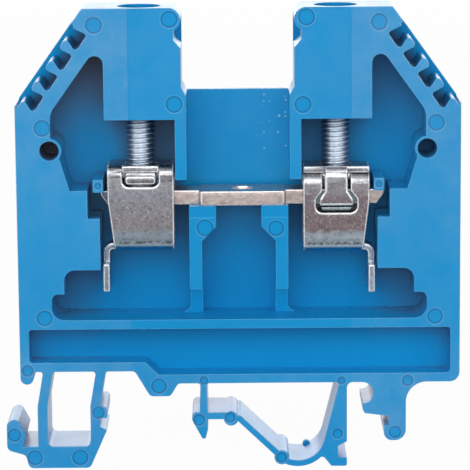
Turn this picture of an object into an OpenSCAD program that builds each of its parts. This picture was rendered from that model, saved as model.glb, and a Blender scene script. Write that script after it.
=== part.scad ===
// Feed-through screw terminal block for a 35 mm rail
// One moulded housing, open at the front, carries a current bar and two screw clamps.
// X runs along the conductors, Y through the thickness (the front is at -Y), Z up.
// Outlines are drawn with x = 0 in the middle of the body and z = 0 under the feet;
// the finished pieces are moved so that the origin is the middle of the rail seat.

/* [Body] */
// Thickness of the block along the rail
block_t = 8; // [7.6:0.1:10]
// Width of the body between its outer side faces
body_w = 53.2; // [52:0.1:60]
// Height from the foot bottom to the tower tops
total_h = 56; // [55:0.1:62]
// Thickness of the closed back wall
back_t = 1; // [0.6:0.05:1.4]
// Wall left round the lower channel
rim = 1.15; // [0.8:0.05:1.6]
// Height of the body's underside left of the stop nose
left_sole_z = 12; // [11.6:0.1:12.4]
// Height of the body's underside right of the stop nose
right_sole_z = 10.45; // [10:0.05:11]
// Radius of the lower right corner of the body
corner_r = 1.2; // [0.4:0.1:2]
// Radius of the fillets where the feet's legs join the body
foot_r = 0.35; // [0.1:0.05:0.4]

/* [Rail and stop nose] */
// Width of the rail between its flange edges
rail_w = 35; // [34:0.1:36]
// Offset of the rail's middle from the body's middle
rail_offset = 0.5; // [0:0.1:1]
// Height of the rail's upper face above the foot bottom
rail_seat_z = 6.2; // [5.8:0.1:6.6]
// Height of the notches that grip the rail's flange
rail_gap = 1.1; // [1:0.05:1.4]
// Middle of the stop nose under the body
nose_x = -9.66; // [-11:0.1:-9]
// Width of the stop nose at its lower end
nose_w = 2.46; // [1.5:0.1:3]
// Depth of the stop nose below the right underside
nose_drop = 1.57; // [1:0.05:2]
// Sideways run of the nose's flanks for each millimetre of height
nose_run = 0.59; // [0.4:0.01:0.8]

/* [Towers] */
// Distance of a tower's inner face from the middle
tower_in = 6.75; // [6.4:0.05:7]
// Distance of a tower's outer face from the middle
tower_out = 16; // [15.8:0.05:16.4]
// Height of a tower's underside
tower_bottom = 42.65; // [42:0.05:43.5]
// Height of the back wall's edge between the towers
gap_floor = 45.5; // [44:0.1:47]
// Height of the bevel where a tower widens to the strip below it
gap_bevel = 1.05; // [0.4:0.05:1.6]
// Radius of the round lobe at a tower's inner top corner
lobe_r = 1.4; // [1.1:0.05:1.6]
// Depth of the marker neck below the lobe
neck_depth = 0.85; // [0.4:0.05:1.1]
// Distance of the marker neck below the tower top
neck_down = 3.8; // [3.3:0.05:4]
// Height of the slope below the marker neck
neck_rise = 1; // [0.6:0.05:1.6]
// Radius of the corners of the marker neck
neck_r = 0.35; // [0.1:0.05:0.45]

/* [Marker combs] */
// Distance of the slope's upper end from the middle
slope_top_x = 18.45; // [18:0.05:19]
// Radius of the corner between the tower top and the slope
slope_r = 0.4; // [0.1:0.05:0.8]
// Height of the slope's lower end on the side face
slope_foot_z = 44.6; // [44:0.1:46]
// Number of marker slots on each slope
slot_count = 4; // [2:1:4]
// Distance of the first slot from the slope's upper end
slot_first = 2.17; // [1.9:0.01:2.3]
// Spacing of the slots along the slope
slot_pitch = 2.98; // [2.9:0.02:3.04]
// Width of a slot at its inner end
slot_w = 2.48; // [2:0.01:2.54]
// Width of a slot at its mouth
slot_mouth_w = 1.38; // [1:0.02:1.7]
// Offset of the mouth from the slot's upper end
slot_mouth_shift = 0.3; // [0.1:0.05:0.5]
// Depth of the slots below the slope
slot_depth = 2.35; // [1.6:0.05:2.6]
// Set-back of the finger tips from the back wall's slope
tip_setback = 0.45; // [0.2:0.05:0.8]
// Radius of the finger tips' corners
tip_r = 0.45; // [0.1:0.05:0.6]
// Radius of the slots' inner corners
slot_r = 0.4; // [0.1:0.05:0.5]
// Width of the solid band between the slope and the chamber
comb_band = 4.05; // [3.6:0.05:4.4]

/* [Chambers] */
// Half width of the trough between the towers
trough_half = 6.15; // [5.8:0.05:6.4]
// Distance of a strip's outer face from the middle
strip_out = 7.56; // [7.3:0.02:7.65]
// Height of the strips' lower ends
strip_end = 35.4; // [35:0.1:37]
// Distance of a chamber's outer wall from the middle
chamber_out = 22.4; // [22:0.05:22.6]
// Radius of the chamber's upper apex
apex_r = 1; // [0.6:0.05:1.3]
// Radius where the chamber's inner slope meets its outer wall
shoulder_r = 2.2; // [0.5:0.1:2.5]
// Distance of the slanted wall's upper end from the middle
slant_x = 21.65; // [21.3:0.05:22]
// Distance of the slanted wall's lower end from the middle
ledge_x = 20.2; // [19.6:0.05:20.8]
// Height of the ledge beside the bar's end
ledge_z = 34.2; // [33.8:0.05:34.8]
// Distance of the wall beyond the bar's end from the middle
sill_x = 18.1; // [18.05:0.05:18.6]
// Distance of the wire guide's inner face from the middle
guide_x = 16.65; // [16.5:0.02:17]
// Height of the wire guide's upper end
guide_top = 30.8; // [30:0.1:31.6]
// Height of the wire guide's lower end
guide_bottom = 24.5; // [23.6:0.1:25]
// Distance of the lower pocket's upper wall from the middle
pocket_x = 21.05; // [20.6:0.05:21.4]
// Height where the lower pocket widens
pocket_z = 21.55; // [21:0.05:22]
// Distance of the lower pocket's end from the middle
pocket_out = 22.6; // [22.2:0.05:23]
// Radius of the lower pocket's rounded end
pocket_r = 1.5; // [0.6:0.05:1.55]
// Radius of the lower pocket's upper corner
pocket_top_r = 1.3; // [0.5:0.05:1.6]

/* [Posts and ribs] */
// Width of the small posts over the bar's ends
post_w = 1.26; // [0.8:0.02:1.4]
// Height of the small posts
post_h = 1.55; // [1:0.05:2]
// Distance of a post's inner face from the middle
post_x = 16.2; // [16.15:0.02:16.5]
// Distance of a rib's outer face from the middle
rib_x = 5.95; // [5.6:0.05:6.3]
// Thickness of a rib
rib_t = 1.55; // [1.1:0.05:1.9]
// Width of a rib's head under the bar
rib_head_w = 3.25; // [2.4:0.05:3.8]
// Height of a rib's straight head
rib_head_h = 2.5; // [1.6:0.05:3.2]
// Height of the bevel below a rib's head
rib_bevel_h = 1.75; // [1:0.05:2.4]
// Height where a rib's front part ends
rib_under_z = 22.05; // [21:0.05:23]
// Standing height of a rib's low root above the back wall
rib_root_h = 2.4; // [1.4:0.1:3.4]
// Radius of the fillet at a rib's root
rib_fillet = 1; // [0.4:0.05:1.4]

/* [Lower channel] */
// Height of the channel's upper edge
channel_top = 17.2; // [16.8:0.05:17.4]
// Thickness of the wall between channel and chambers
sill_t = 1.2; // [0.8:0.05:1.4]
// Depth of the channel from the front
channel_depth = 3.5; // [2:0.1:4]
// Radius of the channel's corners
channel_r = 0.35; // [0.1:0.05:0.8]
// Place where the channel's floor steps down
channel_step_x = -11.4; // [-12:0.1:-10.8]

/* [Alignment holes and pegs] */
// Distance of an alignment hole from the middle
hole_x = 22.58; // [22.4:0.02:22.8]
// Height of the alignment holes
hole_z = 39.03; // [38.6:0.02:39.4]
// Diameter of the alignment holes
hole_d = 2.3; // [1.8:0.05:2.4]
// Diameter of the collar round an alignment hole
collar_d = 3; // [2.8:0.05:3.2]
// Depth of the alignment holes
hole_depth = 6; // [3:0.5:6.5]
// Play between a peg and the neighbour's hole, on the diameter
peg_play = 0.2; // [0.1:0.05:0.4]
// Length of the pegs on the back wall
peg_h = 1.2; // [0.6:0.1:2]

/* [Wire entries] */
// Diameter of the wire bore
wire_d = 4.4; // [4:0.1:4.6]
// Diameter of the funnel at the side face
funnel_d = 6.4; // [5:0.1:6.8]
// Depth of the funnel
funnel_depth = 2.6; // [1.5:0.1:4]

/* [Latch foot] */
// Height of the latch foot's base bar
latch_base_h = 2.7; // [2.2:0.05:3]
// Thickness of the latch foot's legs
latch_leg_t = 1.2; // [0.8:0.05:1.5]
// Distance of the outer leg's outer face from the rail notch
latch_leg_span = 7.6; // [7:0.05:8.2]
// Sideways lean of the legs above their bend
latch_lean = 0.75; // [0.3:0.05:1]
// Height of the legs' bend
latch_bend_z = 7.7; // [7.6:0.05:8.2]
// Radius of the leg's inner corner at the base
latch_r = 0.7; // [0.3:0.05:1]
// Reach of the upper nose over the rail
latch_nose = 0.85; // [0.5:0.05:1]
// Height of the upper nose
latch_nose_h = 1.45; // [1:0.05:1.5]
// Reach of the jaw under the rail
latch_jaw = 0.8; // [0.5:0.05:1]
// Drop of the jaw's upper face towards its tip
latch_jaw_drop = 0.38; // [0.2:0.02:0.5]
// Sideways run of the jaw's slanted face
latch_jaw_run = 2.1; // [1:0.05:2.5]
// Length of the base bar to the left of the outer leg
latch_tail = 1.15; // [0.8:0.05:1.4]
// Distance of the hook's outer face from the outer leg
hook_reach = 3.8; // [3.3:0.05:4]
// Width of the hook at its tip
hook_w = 2.3; // [1.6:0.05:2.4]
// Height of the hook's upper end
hook_top_z = 6.35; // [5.6:0.05:6.8]
// Height of the hook's pointed tip
hook_tip_z = 4.2; // [3.6:0.05:4.6]
// Height of the hook's rounded heel
hook_heel_z = 2.3; // [1.8:0.05:2.6]
// Radius of the finger lobe at the body's lower left corner
finger_r = 0.8; // [0.6:0.02:0.9]
// Depth of the finger lobe below the body
finger_drop = 1.55; // [1:0.05:1.8]

/* [Spring foot] */
// Distance of the straight leg's middle from the middle of the body
spring_leg_x = -4.42; // [-5:0.02:-4]
// Thickness of the straight leg at the body
spring_leg_t = 0.76; // [0.6:0.02:0.9]
// Thickness of the straight leg above the wedge
spring_leg_base = 1; // [0.92:0.02:1.2]
// Reach of the wedge nose from the leg's middle
wedge_reach = 1.5; // [1.3:0.02:1.6]
// Height of the wedge nose
wedge_z = 5.98; // [5.6:0.02:6.3]
// Height of the wedge's upper shoulder above the nose
wedge_shoulder = 0.9; // [0.7:0.05:1.1]
// Depth of the wedge's tip below the nose
wedge_tip = 2.43; // [1.8:0.02:2.8]
// Distance of the upper hinge boss from the straight leg
boss_a_run = 3.31; // [3:0.02:3.7]
// Height of the upper hinge boss
boss_a_z = 6.05; // [5.8:0.02:6.3]
// Distance of the lower hinge boss from the straight leg
boss_b_run = 9.44; // [9.1:0.02:9.8]
// Height of the lower hinge boss
boss_b_z = 1.14; // [1:0.02:1.3]
// Diameter of the hinge bosses
boss_d = 1.8; // [1.4:0.05:2]
// Distance of the slanted arm's elbow from the upper hinge boss
elbow_run = 1; // [0.6:0.05:1.4]
// Thickness of the spring's thin arms
arm_t = 0.75; // [0.5:0.05:1]
// Distance of the lower arc's middle from the straight leg
arc_run = 11.42; // [11.2:0.02:11.6]
// Outer radius of the lower arc
arc_r = 4.05; // [3.9:0.02:4.2]
// Distance of the spring's outer face from the straight leg
spring_end = 17.38; // [17.2:0.02:17.5]
// Thickness of the outer leg where it joins the body
outer_leg_t = 0.92; // [0.7:0.02:1.1]
// Thickness of the outer leg at its lower end
outer_leg_base = 2.76; // [2.6:0.02:2.9]
// Height where the outer leg's slant ends
outer_leg_z = 3.28; // [3:0.02:3.6]
// Depth of the notch in the spring's end
end_notch = 1.08; // [0.7:0.02:1.3]
// Height of the notch's lower edge
end_notch_z = 1.08; // [0.9:0.02:1.2]
// Height of the notch
end_notch_h = 1.44; // [1:0.02:1.6]
// Width of the block below the notch
end_foot_w = 1.9; // [1.6:0.02:2.1]

// Turn of the small moulding pip along the arc from its lowest point, in degrees
pip_turn = 21; // [-20:1:40]
// Diameter of the moulding pip
pip_d = 0.9; // [0.5:0.05:1.2]
// Length of the moulding pip
pip_len = 0.8; // [0.5:0.1:3]

/* [Fixed foot] */
// Width of the fixed foot's leg
fixed_leg_w = 2.67; // [2.2:0.02:3]
// Reach of the jaw under the rail
fixed_jaw = 0.55; // [0.3:0.05:0.8]
// Height of the fixed foot's lower end
fixed_bottom_z = 3.17; // [2.8:0.02:3.6]
// Reach of the lip over the rail
fixed_lip = 3.15; // [2.7:0.05:3.3]
// Thickness of the lip at its tip
fixed_lip_t = 0.5; // [0.3:0.05:0.8]
// Rise of the lip's underside towards its tip
fixed_lip_rise = 0.38; // [0.2:0.02:0.5]
// Radius of the round hollow above the lip
hollow_r = 1.33; // [1:0.02:1.4]
// Height of the hollow's middle
hollow_z = 9.1; // [9:0.02:9.3]
// Radius of the fillet between the fixed foot and the body
fixed_fillet = 2.5; // [1:0.1:3]

/* [Current bar] */
// Length of the bar
bar_len = 34; // [33:0.1:34.6]
// Offset of the bar's middle from the body's middle
bar_offset = 0.46; // [0.2:0.02:0.5]
// Thickness of the bar
bar_t = 1.7; // [1.4:0.05:1.8]
// Height of the bar's underside
bar_z = 32.2; // [32:0.05:32.4]
// Width of the bar between the yokes
bar_w = 5.9; // [5:0.1:6.4]
// Length of the wide part
bar_wide = 10.52; // [9.6:0.02:11]
// Chamfer at the corners of the wide part
bar_chamfer = 0.35; // [0.1:0.05:0.8]
// Width of the bar inside the yokes
bar_neck_w = 3.9; // [3.4:0.05:4]
// Length of the bevel under each end
bar_bevel_x = 0.85; // [0.3:0.05:1.2]
// Height of the bevel under each end
bar_bevel_z = 1.2; // [0.6:0.05:1.4]
// Diameter of the tapped hole in the bar
tap_d = 2.5; // [2:0.05:2.6]

/* [Clamp yokes] */
// Distance of the screw axes from the middle
screw_x = 11.75; // [11.7:0.01:11.8]
// Width of a yoke along the bar
yoke_w = 8; // [7.6:0.05:8.1]
// Thickness of the folded strip
strip_t = 0.8; // [0.6:0.02:0.85]
// Clear width inside a yoke
yoke_in_w = 4.2; // [4.1:0.02:4.4]
// Height of a yoke's underside when fully open
yoke_z = 26.35; // [26.2:0.05:26.6]
// Height of a yoke from its underside to its top
yoke_h = 10.4; // [10.2:0.05:10.6]
// Rise of the left yoke from fully open, as photographed
left_rise = 0.3; // [0:0.05:0.6]
// Outer bend radius at the bottom of a yoke
yoke_r = 1.6; // [1.4:0.05:2.4]
// Outer bend radius at the top of a yoke
fold_r = 1.2; // [0.9:0.05:1.3]
// Gap between the two top layers of the strip
layer_gap = 0.05; // [0.02:0.01:0.08]
// Inward slant of a yoke's outer edge at the bottom
edge_slant = 0.8; // [0.3:0.05:1]
// Height of the slanted edge above the underside
edge_slant_h = 6.4; // [5:0.1:7]
// Width of the locking tongue
tongue_w = 2.75; // [2.3:0.05:3]
// Width of the tongue's flared end
tongue_end_w = 4.05; // [3.4:0.05:4.3]
// Length of the tongue below the yoke's top
tongue_len = 5.1; // [4.6:0.05:5.3]
// Height of the tongue's flared end
tongue_flare_h = 1.25; // [1.1:0.05:1.5]
// Bevel at the front of the tongue's lower end
tongue_bevel = 0.45; // [0.1:0.05:0.55]
// Gap between the tongue's neck and its window
tongue_gap = 0.33; // [0.2:0.01:0.4]
// Gap between the tongue's end and its window
bulb_gap = 0.45; // [0.3:0.01:0.6]
// Radius of the corners of the tongue's end
bulb_r = 0.6; // [0.3:0.05:0.7]
// Width of the window opposite the tongue
window_w = 4.4; // [3.6:0.05:4.8]
// Depth of that window below the yoke's top
window_down = 2.55; // [2.2:0.05:2.9]
// Depth of the lower layer's end below the yoke's top
lower_tab_down = 2.25; // [1.9:0.05:2.3]
// Width of the lower layer's end that shows in that window
lower_tab_w = 3.6; // [3:0.05:4]
// Width of the tab that leads to the wire shield
tab_w = 2.4; // [2:0.1:3.6]
// Width of the wire shield
shield_w = 5.2; // [4:0.1:5.6]
// Depth of the wire shield's lower end below the yoke
shield_drop = 4.95; // [4:0.05:5.6]
// Height of the wire shield's wide part
shield_h = 3.4; // [2.4:0.1:3.8]
// Gap between the wire shield and the wire guide
shield_gap = 0.25; // [0.15:0.05:0.4]
// Outer radius of the thread collar under a yoke's top
thread_collar_r = 2.05; // [2:0.01:2.08]
// Length of the thread collar
thread_collar_h = 0.9; // [0.5:0.05:1]

/* [Clamp screws] */
// Diameter of the screw shank
screw_d = 3.5; // [3:0.1:3.6]
// Radial play between the shank and the yoke's thread
thread_play = 0.05; // [0.02:0.01:0.1]
// Diameter of the screw head
head_d = 4.5; // [4.2:0.05:4.55]
// Height of the screw head
head_h = 2.8; // [2:0.1:3.4]
// Width of the driver slot
driver_slot_w = 0.9; // [0.6:0.05:1.2]
// Depth of the driver slot
driver_slot_h = 1.3; // [0.8:0.05:1.6]
// Chamfer at the shank's tip
tip_chamfer = 0.5; // [0.2:0.05:0.7]
// Gap between the screw's tip and the bar
tip_gap = 0.05; // [0.02:0.01:0.2]
// Diameter of the driver access bore in a tower
access_d = 5.1; // [5:0.05:5.4]
// Diameter of the bore that guides the screw head
head_bore_d = 4.7; // [4.65:0.05:4.8]
// Clearance between the screw head and the lead-in below the access bore
access_clear = 0.3; // [0.2:0.1:1.2]
// Height of the conical lead-in between the access bore and the head's bore
access_lead = 0.5; // [0.3:0.1:1]
// Diameter of the shank's hole in a tower's floor
shank_hole_d = 4; // [3.8:0.05:4.4]
// Thickness of a tower's floor under the screw head
tower_floor_t = 1.85; // [1.2:0.05:2.4]
// Gap between the screw head and a tower's floor
head_gap = 0.3; // [0.1:0.05:0.6]

/* [Hidden] */

// Overshoot of cuts past the face that they open
over = 1;
// Largest angle of one flat of a rounded corner, in degrees
arc_step = 15;
// Radius above which a corner gets twice as many flats
fine_r = 0.75;
$fn = 48;

// Planes through the thickness
front_y = -block_t / 2;
rear_y = block_t / 2;
floor_y = rear_y - back_t;
metal_y = (front_y + floor_y) / 2;
half_w = body_w / 2;

// Unit vectors along the slope and out of it
slope_len = norm([half_w - slope_top_x, total_h - slope_foot_z]);
slope_u = [half_w - slope_top_x, slope_foot_z - total_h] / slope_len;
slope_n = [-slope_u[1], slope_u[0]];

// Heights and edges that follow from the driving sizes
chamber_floor = channel_top + sill_t;
nose_z = right_sole_z - nose_drop;
rail_left = rail_offset - rail_w / 2;
rail_right = rail_offset + rail_w / 2;
notch_z = rail_seat_z - rail_gap;
bar_top = bar_z + bar_t;
yoke_out_w = yoke_in_w + 2 * strip_t;
yoke_floor = yoke_z + strip_t;
yoke_top = yoke_z + yoke_h;
layer_split = yoke_top - strip_t - layer_gap;
wire_z = (yoke_floor + bar_z) / 2;
tip_z = bar_top + tip_gap;
seat_z = tower_bottom + tower_floor_t;
head_z = seat_z + head_gap;
lead_z = head_z + head_h + access_clear;
access_z = lead_z + access_lead;

// Rounded outlines: each point is [x, z] or [x, z, corner radius]
function unit(v) = v / norm(v);
function spot(p) = [p[0], p[1]];
function corner_arc(a, p, b, r) =
    let (
        u = unit(a - p),
        v = unit(b - p),
        half = acos(max(-1, min(1, u * v))) / 2,
        room = min(norm(a - p), norm(b - p)) / 2,
        fit_r = min(r, room * tan(half)),
        middle = p + unit(u + v) * fit_r / sin(half),
        from = p + u * fit_r / tan(half) - middle,
        to = p + v * fit_r / tan(half) - middle,
        start = atan2(from[1], from[0]),
        turn = atan2(to[1], to[0]) - start,
        sweep = turn > 180 ? turn - 360 : turn < -180 ? turn + 360 : turn,
        flats = max(2, ceil(abs(sweep) / (fit_r > fine_r ? arc_step / 2 : arc_step)))
    )
    [for (i = [0 : flats])
        let (angle = start + sweep * i / flats)
        middle + fit_r * [cos(angle), sin(angle)]];
function outline(points) =
    let (count = len(points))
    [for (i = [0 : count - 1])
        let (
            p = points[i],
            a = points[(i + count - 1) % count],
            b = points[(i + 1) % count]
        )
        each (len(p) > 2 ? corner_arc(spot(a), spot(p), spot(b), p[2]) : [p])];

// An outline point with a corner radius
function rounded(p, r) = [p[0], p[1], r];

// A point s along the slope and d out of it, and the height of a line parallel to it
function on_slope(s, d) = [slope_top_x, total_h] + s * slope_u + d * slope_n;
function slope_z(x, d) = total_h + (d - slope_n[0] * (x - slope_top_x)) / slope_n[1];

// Plate with an x-z outline between two depths
module plate(points, from_y, to_y) {
    translate([0, to_y, 0]) rotate([90, 0, 0]) linear_extrude(to_y - from_y) polygon(outline(points));
}

// Bar with a y-z section between two x positions
module profile(points, from_x, to_x) {
    translate([from_x, 0, 0]) rotate([90, 0, 90]) linear_extrude(to_x - from_x) polygon(outline(points));
}

// Round pin along Y
module pin_y(x, z, d, from_y, to_y) {
    translate([x, to_y, z]) rotate([90, 0, 0]) cylinder(d = d, h = to_y - from_y);
}

// Upright box between two x positions, depths and heights
module block(x, y, z) {
    translate([x[0], y[0], z[0]]) cube([x[1] - x[0], y[1] - y[0], z[1] - z[0]]);
}

// The same piece on both sides of the middle
module both_sides() {
    for (side = [-1, 1]) scale_side(side) children();
}
module scale_side(side) {
    if (side < 0) mirror([1, 0, 0]) children();
    else children();
}

// Moves a piece from the outline frame to the middle of the rail seat
module on_rail() {
    translate([-rail_offset, 0, -rail_seat_z]) children();
}

// Body silhouette with both towers, slopes and the stop nose
module body_plate() {
    nose_left = nose_x - nose_w / 2;
    nose_right = nose_x + nose_w / 2;
    plate([
        [-half_w, left_sole_z],
        [nose_left - (left_sole_z - nose_z) * nose_run, left_sole_z, nose_run],
        [nose_left, nose_z, nose_run],
        [nose_right, nose_z, nose_run],
        [nose_right + nose_drop * nose_run, right_sole_z, nose_run],
        [half_w, right_sole_z, corner_r],
        [half_w, slope_foot_z],
        [slope_top_x, total_h, slope_r],
        [tower_in, total_h, lobe_r],
        [tower_in, gap_floor + gap_bevel],
        [trough_half, gap_floor],
        [-trough_half, gap_floor],
        [-tower_in, gap_floor + gap_bevel],
        [-tower_in, total_h, lobe_r],
        [-slope_top_x, total_h, slope_r],
        [-half_w, slope_foot_z]
    ], front_y, rear_y);
}

// Pocket that holds one clamp, drawn for the right side
module chamber_cut() {
    plate([
        [strip_out, tower_bottom],
        [tower_out, tower_bottom],
        [tower_out, slope_z(tower_out, -comb_band), apex_r],
        [chamber_out, slope_z(chamber_out, -comb_band), shoulder_r],
        [chamber_out, hole_z],
        [slant_x, hole_z],
        [ledge_x, ledge_z],
        [sill_x, ledge_z],
        [sill_x, guide_top],
        [guide_x, guide_top],
        [guide_x, guide_bottom],
        [pocket_x, guide_bottom, pocket_top_r],
        [pocket_x, pocket_z],
        [pocket_out, pocket_z, pocket_r],
        [pocket_out, chamber_floor, pocket_r],
        [strip_out, chamber_floor]
    ], front_y - over, floor_y);
}

// Trough between the towers and the bay below the bar
module middle_cut() {
    cut_y = [front_y - over, floor_y];
    block([-trough_half, trough_half], cut_y, [strip_end, gap_floor + over]);
    block([-strip_out, strip_out], cut_y, [chamber_floor, strip_end]);
}

// Marker slots between set-back, rounded finger tips, in one outline
module comb_cut() {
    last = slot_first + slot_pitch * slot_count;
    slots = [for (i = [0 : slot_count - 1])
        let (
            s = slot_first + i * slot_pitch,
            mouth = s + slot_mouth_shift
        )
        each [
            rounded(on_slope(mouth, -tip_setback), tip_r),
            rounded(on_slope(s, -slot_depth), slot_r),
            rounded(on_slope(s + slot_w, -slot_depth), slot_r),
            rounded(on_slope(mouth + slot_mouth_w, -tip_setback), tip_r)
        ]];
    plate(concat(
        [on_slope(slot_first, over), on_slope(slot_first, -tip_setback)],
        slots,
        [on_slope(last, -tip_setback), on_slope(last, over)]
    ), front_y - over, floor_y);
}

// Neck below a tower's round lobe, where a marker snaps in
module marker_neck_cut() {
    lobe = [tower_in + lobe_r, total_h - lobe_r];
    lobe_turn = acos((lobe_r - neck_depth) / lobe_r);
    lobe_fall = lobe_r + lobe_r * sin(lobe_turn);
    neck_z = total_h - max(neck_down, lobe_fall + neck_r);
    flats = ceil(2 * lobe_turn / arc_step);
    plate(concat([
        [tower_in - over, neck_z - neck_rise],
        [tower_in, neck_z - neck_rise, neck_r],
        [tower_in + neck_depth, neck_z, neck_r]
    ], [for (i = [0 : flats])
        let (angle = 180 + lobe_turn * (1 - i / flats))
        lobe + lobe_r * [cos(angle), sin(angle)]
    ], [
        [tower_in - over, total_h - lobe_r]
    ]), front_y - over, floor_y);
}

// Rib that carries the bar, drawn for the right side
module rib() {
    rib_in = rib_x - rib_t;
    head_in = rib_x - rib_head_w;
    plate([
        [rib_x, rib_under_z],
        [rib_x, bar_z],
        [head_in, bar_z],
        [head_in, bar_z - rib_head_h],
        [rib_in, bar_z - rib_head_h - rib_bevel_h],
        [rib_in, rib_under_z]
    ], front_y, floor_y + back_t / 2);
    plate([
        [rib_in, chamber_floor - sill_t / 2],
        [rib_x + 2 * rib_fillet, chamber_floor - sill_t / 2],
        [rib_x + 2 * rib_fillet, chamber_floor],
        [rib_x, chamber_floor, rib_fillet],
        [rib_x, rib_under_z + rib_fillet],
        [rib_in, rib_under_z + rib_fillet]
    ], floor_y - rib_root_h, floor_y + back_t / 2);
}

// Post that keeps the bar's end down
module post() {
    block([post_x, post_x + post_w], [front_y, floor_y + back_t / 2], [tip_z, tip_z + post_h]);
}

// Shallow channel across the lower body
module channel_cut() {
    left_z = left_sole_z + rim;
    right_z = right_sole_z + rim;
    plate([
        [-half_w + rim, left_z, channel_r],
        [channel_step_x, left_z, channel_r],
        [channel_step_x + left_z - right_z, right_z, channel_r],
        [half_w - rim, right_z, channel_r],
        [half_w - rim, channel_top, channel_r],
        [-half_w + rim, channel_top, channel_r]
    ], front_y - over, front_y + channel_depth);
}

// Wire bore with its funnel, drawn for the right side
module wire_cut() {
    funnel_x = half_w - funnel_depth;
    translate([guide_x - over, metal_y, wire_z]) rotate([0, 90, 0])
        cylinder(d = wire_d, h = funnel_x - guide_x + 2 * over);
    translate([funnel_x, metal_y, wire_z]) rotate([0, 90, 0])
        cylinder(d1 = wire_d, d2 = funnel_d, h = funnel_depth);
}

// Driver access bore and shank hole of one tower
module tower_cut() {
    translate([screw_x, metal_y, 0]) {
        translate([0, 0, access_z]) cylinder(d = access_d, h = total_h);
        translate([0, 0, lead_z]) cylinder(d1 = head_bore_d, d2 = access_d, h = access_lead);
        translate([0, 0, seat_z]) cylinder(d = head_bore_d, h = lead_z - seat_z);
        translate([0, 0, tower_bottom - over]) cylinder(d = shank_hole_d, h = tower_floor_t + 2 * over);
    }
}

// Left foot: two legs, a base bar that grips the rail and a hook for a driver blade
module latch_foot() {
    leg_x = rail_left - latch_leg_span;
    tail_x = leg_x - latch_tail;
    hook_x = leg_x - hook_reach;
    top = left_sole_z + rim / 2;
    difference() {
        plate([
            [tail_x, 0, latch_r],
            [rail_left + latch_jaw - latch_jaw_run, 0, latch_r],
            [rail_left + latch_jaw, notch_z - latch_jaw_drop],
            [rail_left, notch_z],
            [rail_left, rail_seat_z],
            [rail_left + latch_nose, rail_seat_z, latch_nose / 4],
            [rail_left + latch_nose, rail_seat_z + latch_nose_h, latch_nose],
            [rail_left, latch_bend_z],
            [rail_left + latch_lean, left_sole_z, foot_r],
            [rail_left + latch_lean + 2 * foot_r, left_sole_z],
            [rail_left + latch_lean + 2 * foot_r, top],
            [leg_x + latch_lean - 2 * foot_r, top],
            [leg_x + latch_lean - 2 * foot_r, left_sole_z],
            [leg_x + latch_lean, left_sole_z, foot_r],
            [leg_x, latch_bend_z],
            [leg_x, latch_base_h],
            [hook_x + hook_w - latch_r / 2, latch_base_h],
            [hook_x + hook_w, hook_tip_z, latch_r / 3],
            [hook_x + hook_w / 2, hook_top_z, latch_r],
            [hook_x, hook_top_z - latch_r, latch_r],
            [hook_x, hook_heel_z, latch_r],
            [tail_x - latch_r / 2, hook_heel_z - latch_r, latch_r]
        ], front_y, rear_y);
        plate([
            [leg_x + latch_leg_t, latch_base_h, latch_r],
            [rail_left - latch_leg_t, latch_base_h, latch_r],
            [rail_left - latch_leg_t, latch_bend_z],
            [rail_left - latch_leg_t + latch_lean, left_sole_z, foot_r],
            [leg_x + latch_leg_t + latch_lean, left_sole_z, foot_r],
            [leg_x + latch_leg_t, latch_bend_z]
        ], front_y - over, rear_y + over);
    }
    finger_x = -half_w + finger_r;
    finger_z = left_sole_z - finger_drop + finger_r;
    pin_y(finger_x, finger_z, 2 * finger_r, front_y, rear_y);
    plate([
        [-half_w, finger_z],
        [-half_w + 2 * finger_r, finger_z],
        [-half_w + 2 * finger_r, left_sole_z, foot_r],
        [-half_w + 2 * finger_r + 2 * foot_r, left_sole_z],
        [-half_w + 2 * finger_r + 2 * foot_r, top],
        [-half_w, top]
    ], front_y, rear_y);
}

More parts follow.
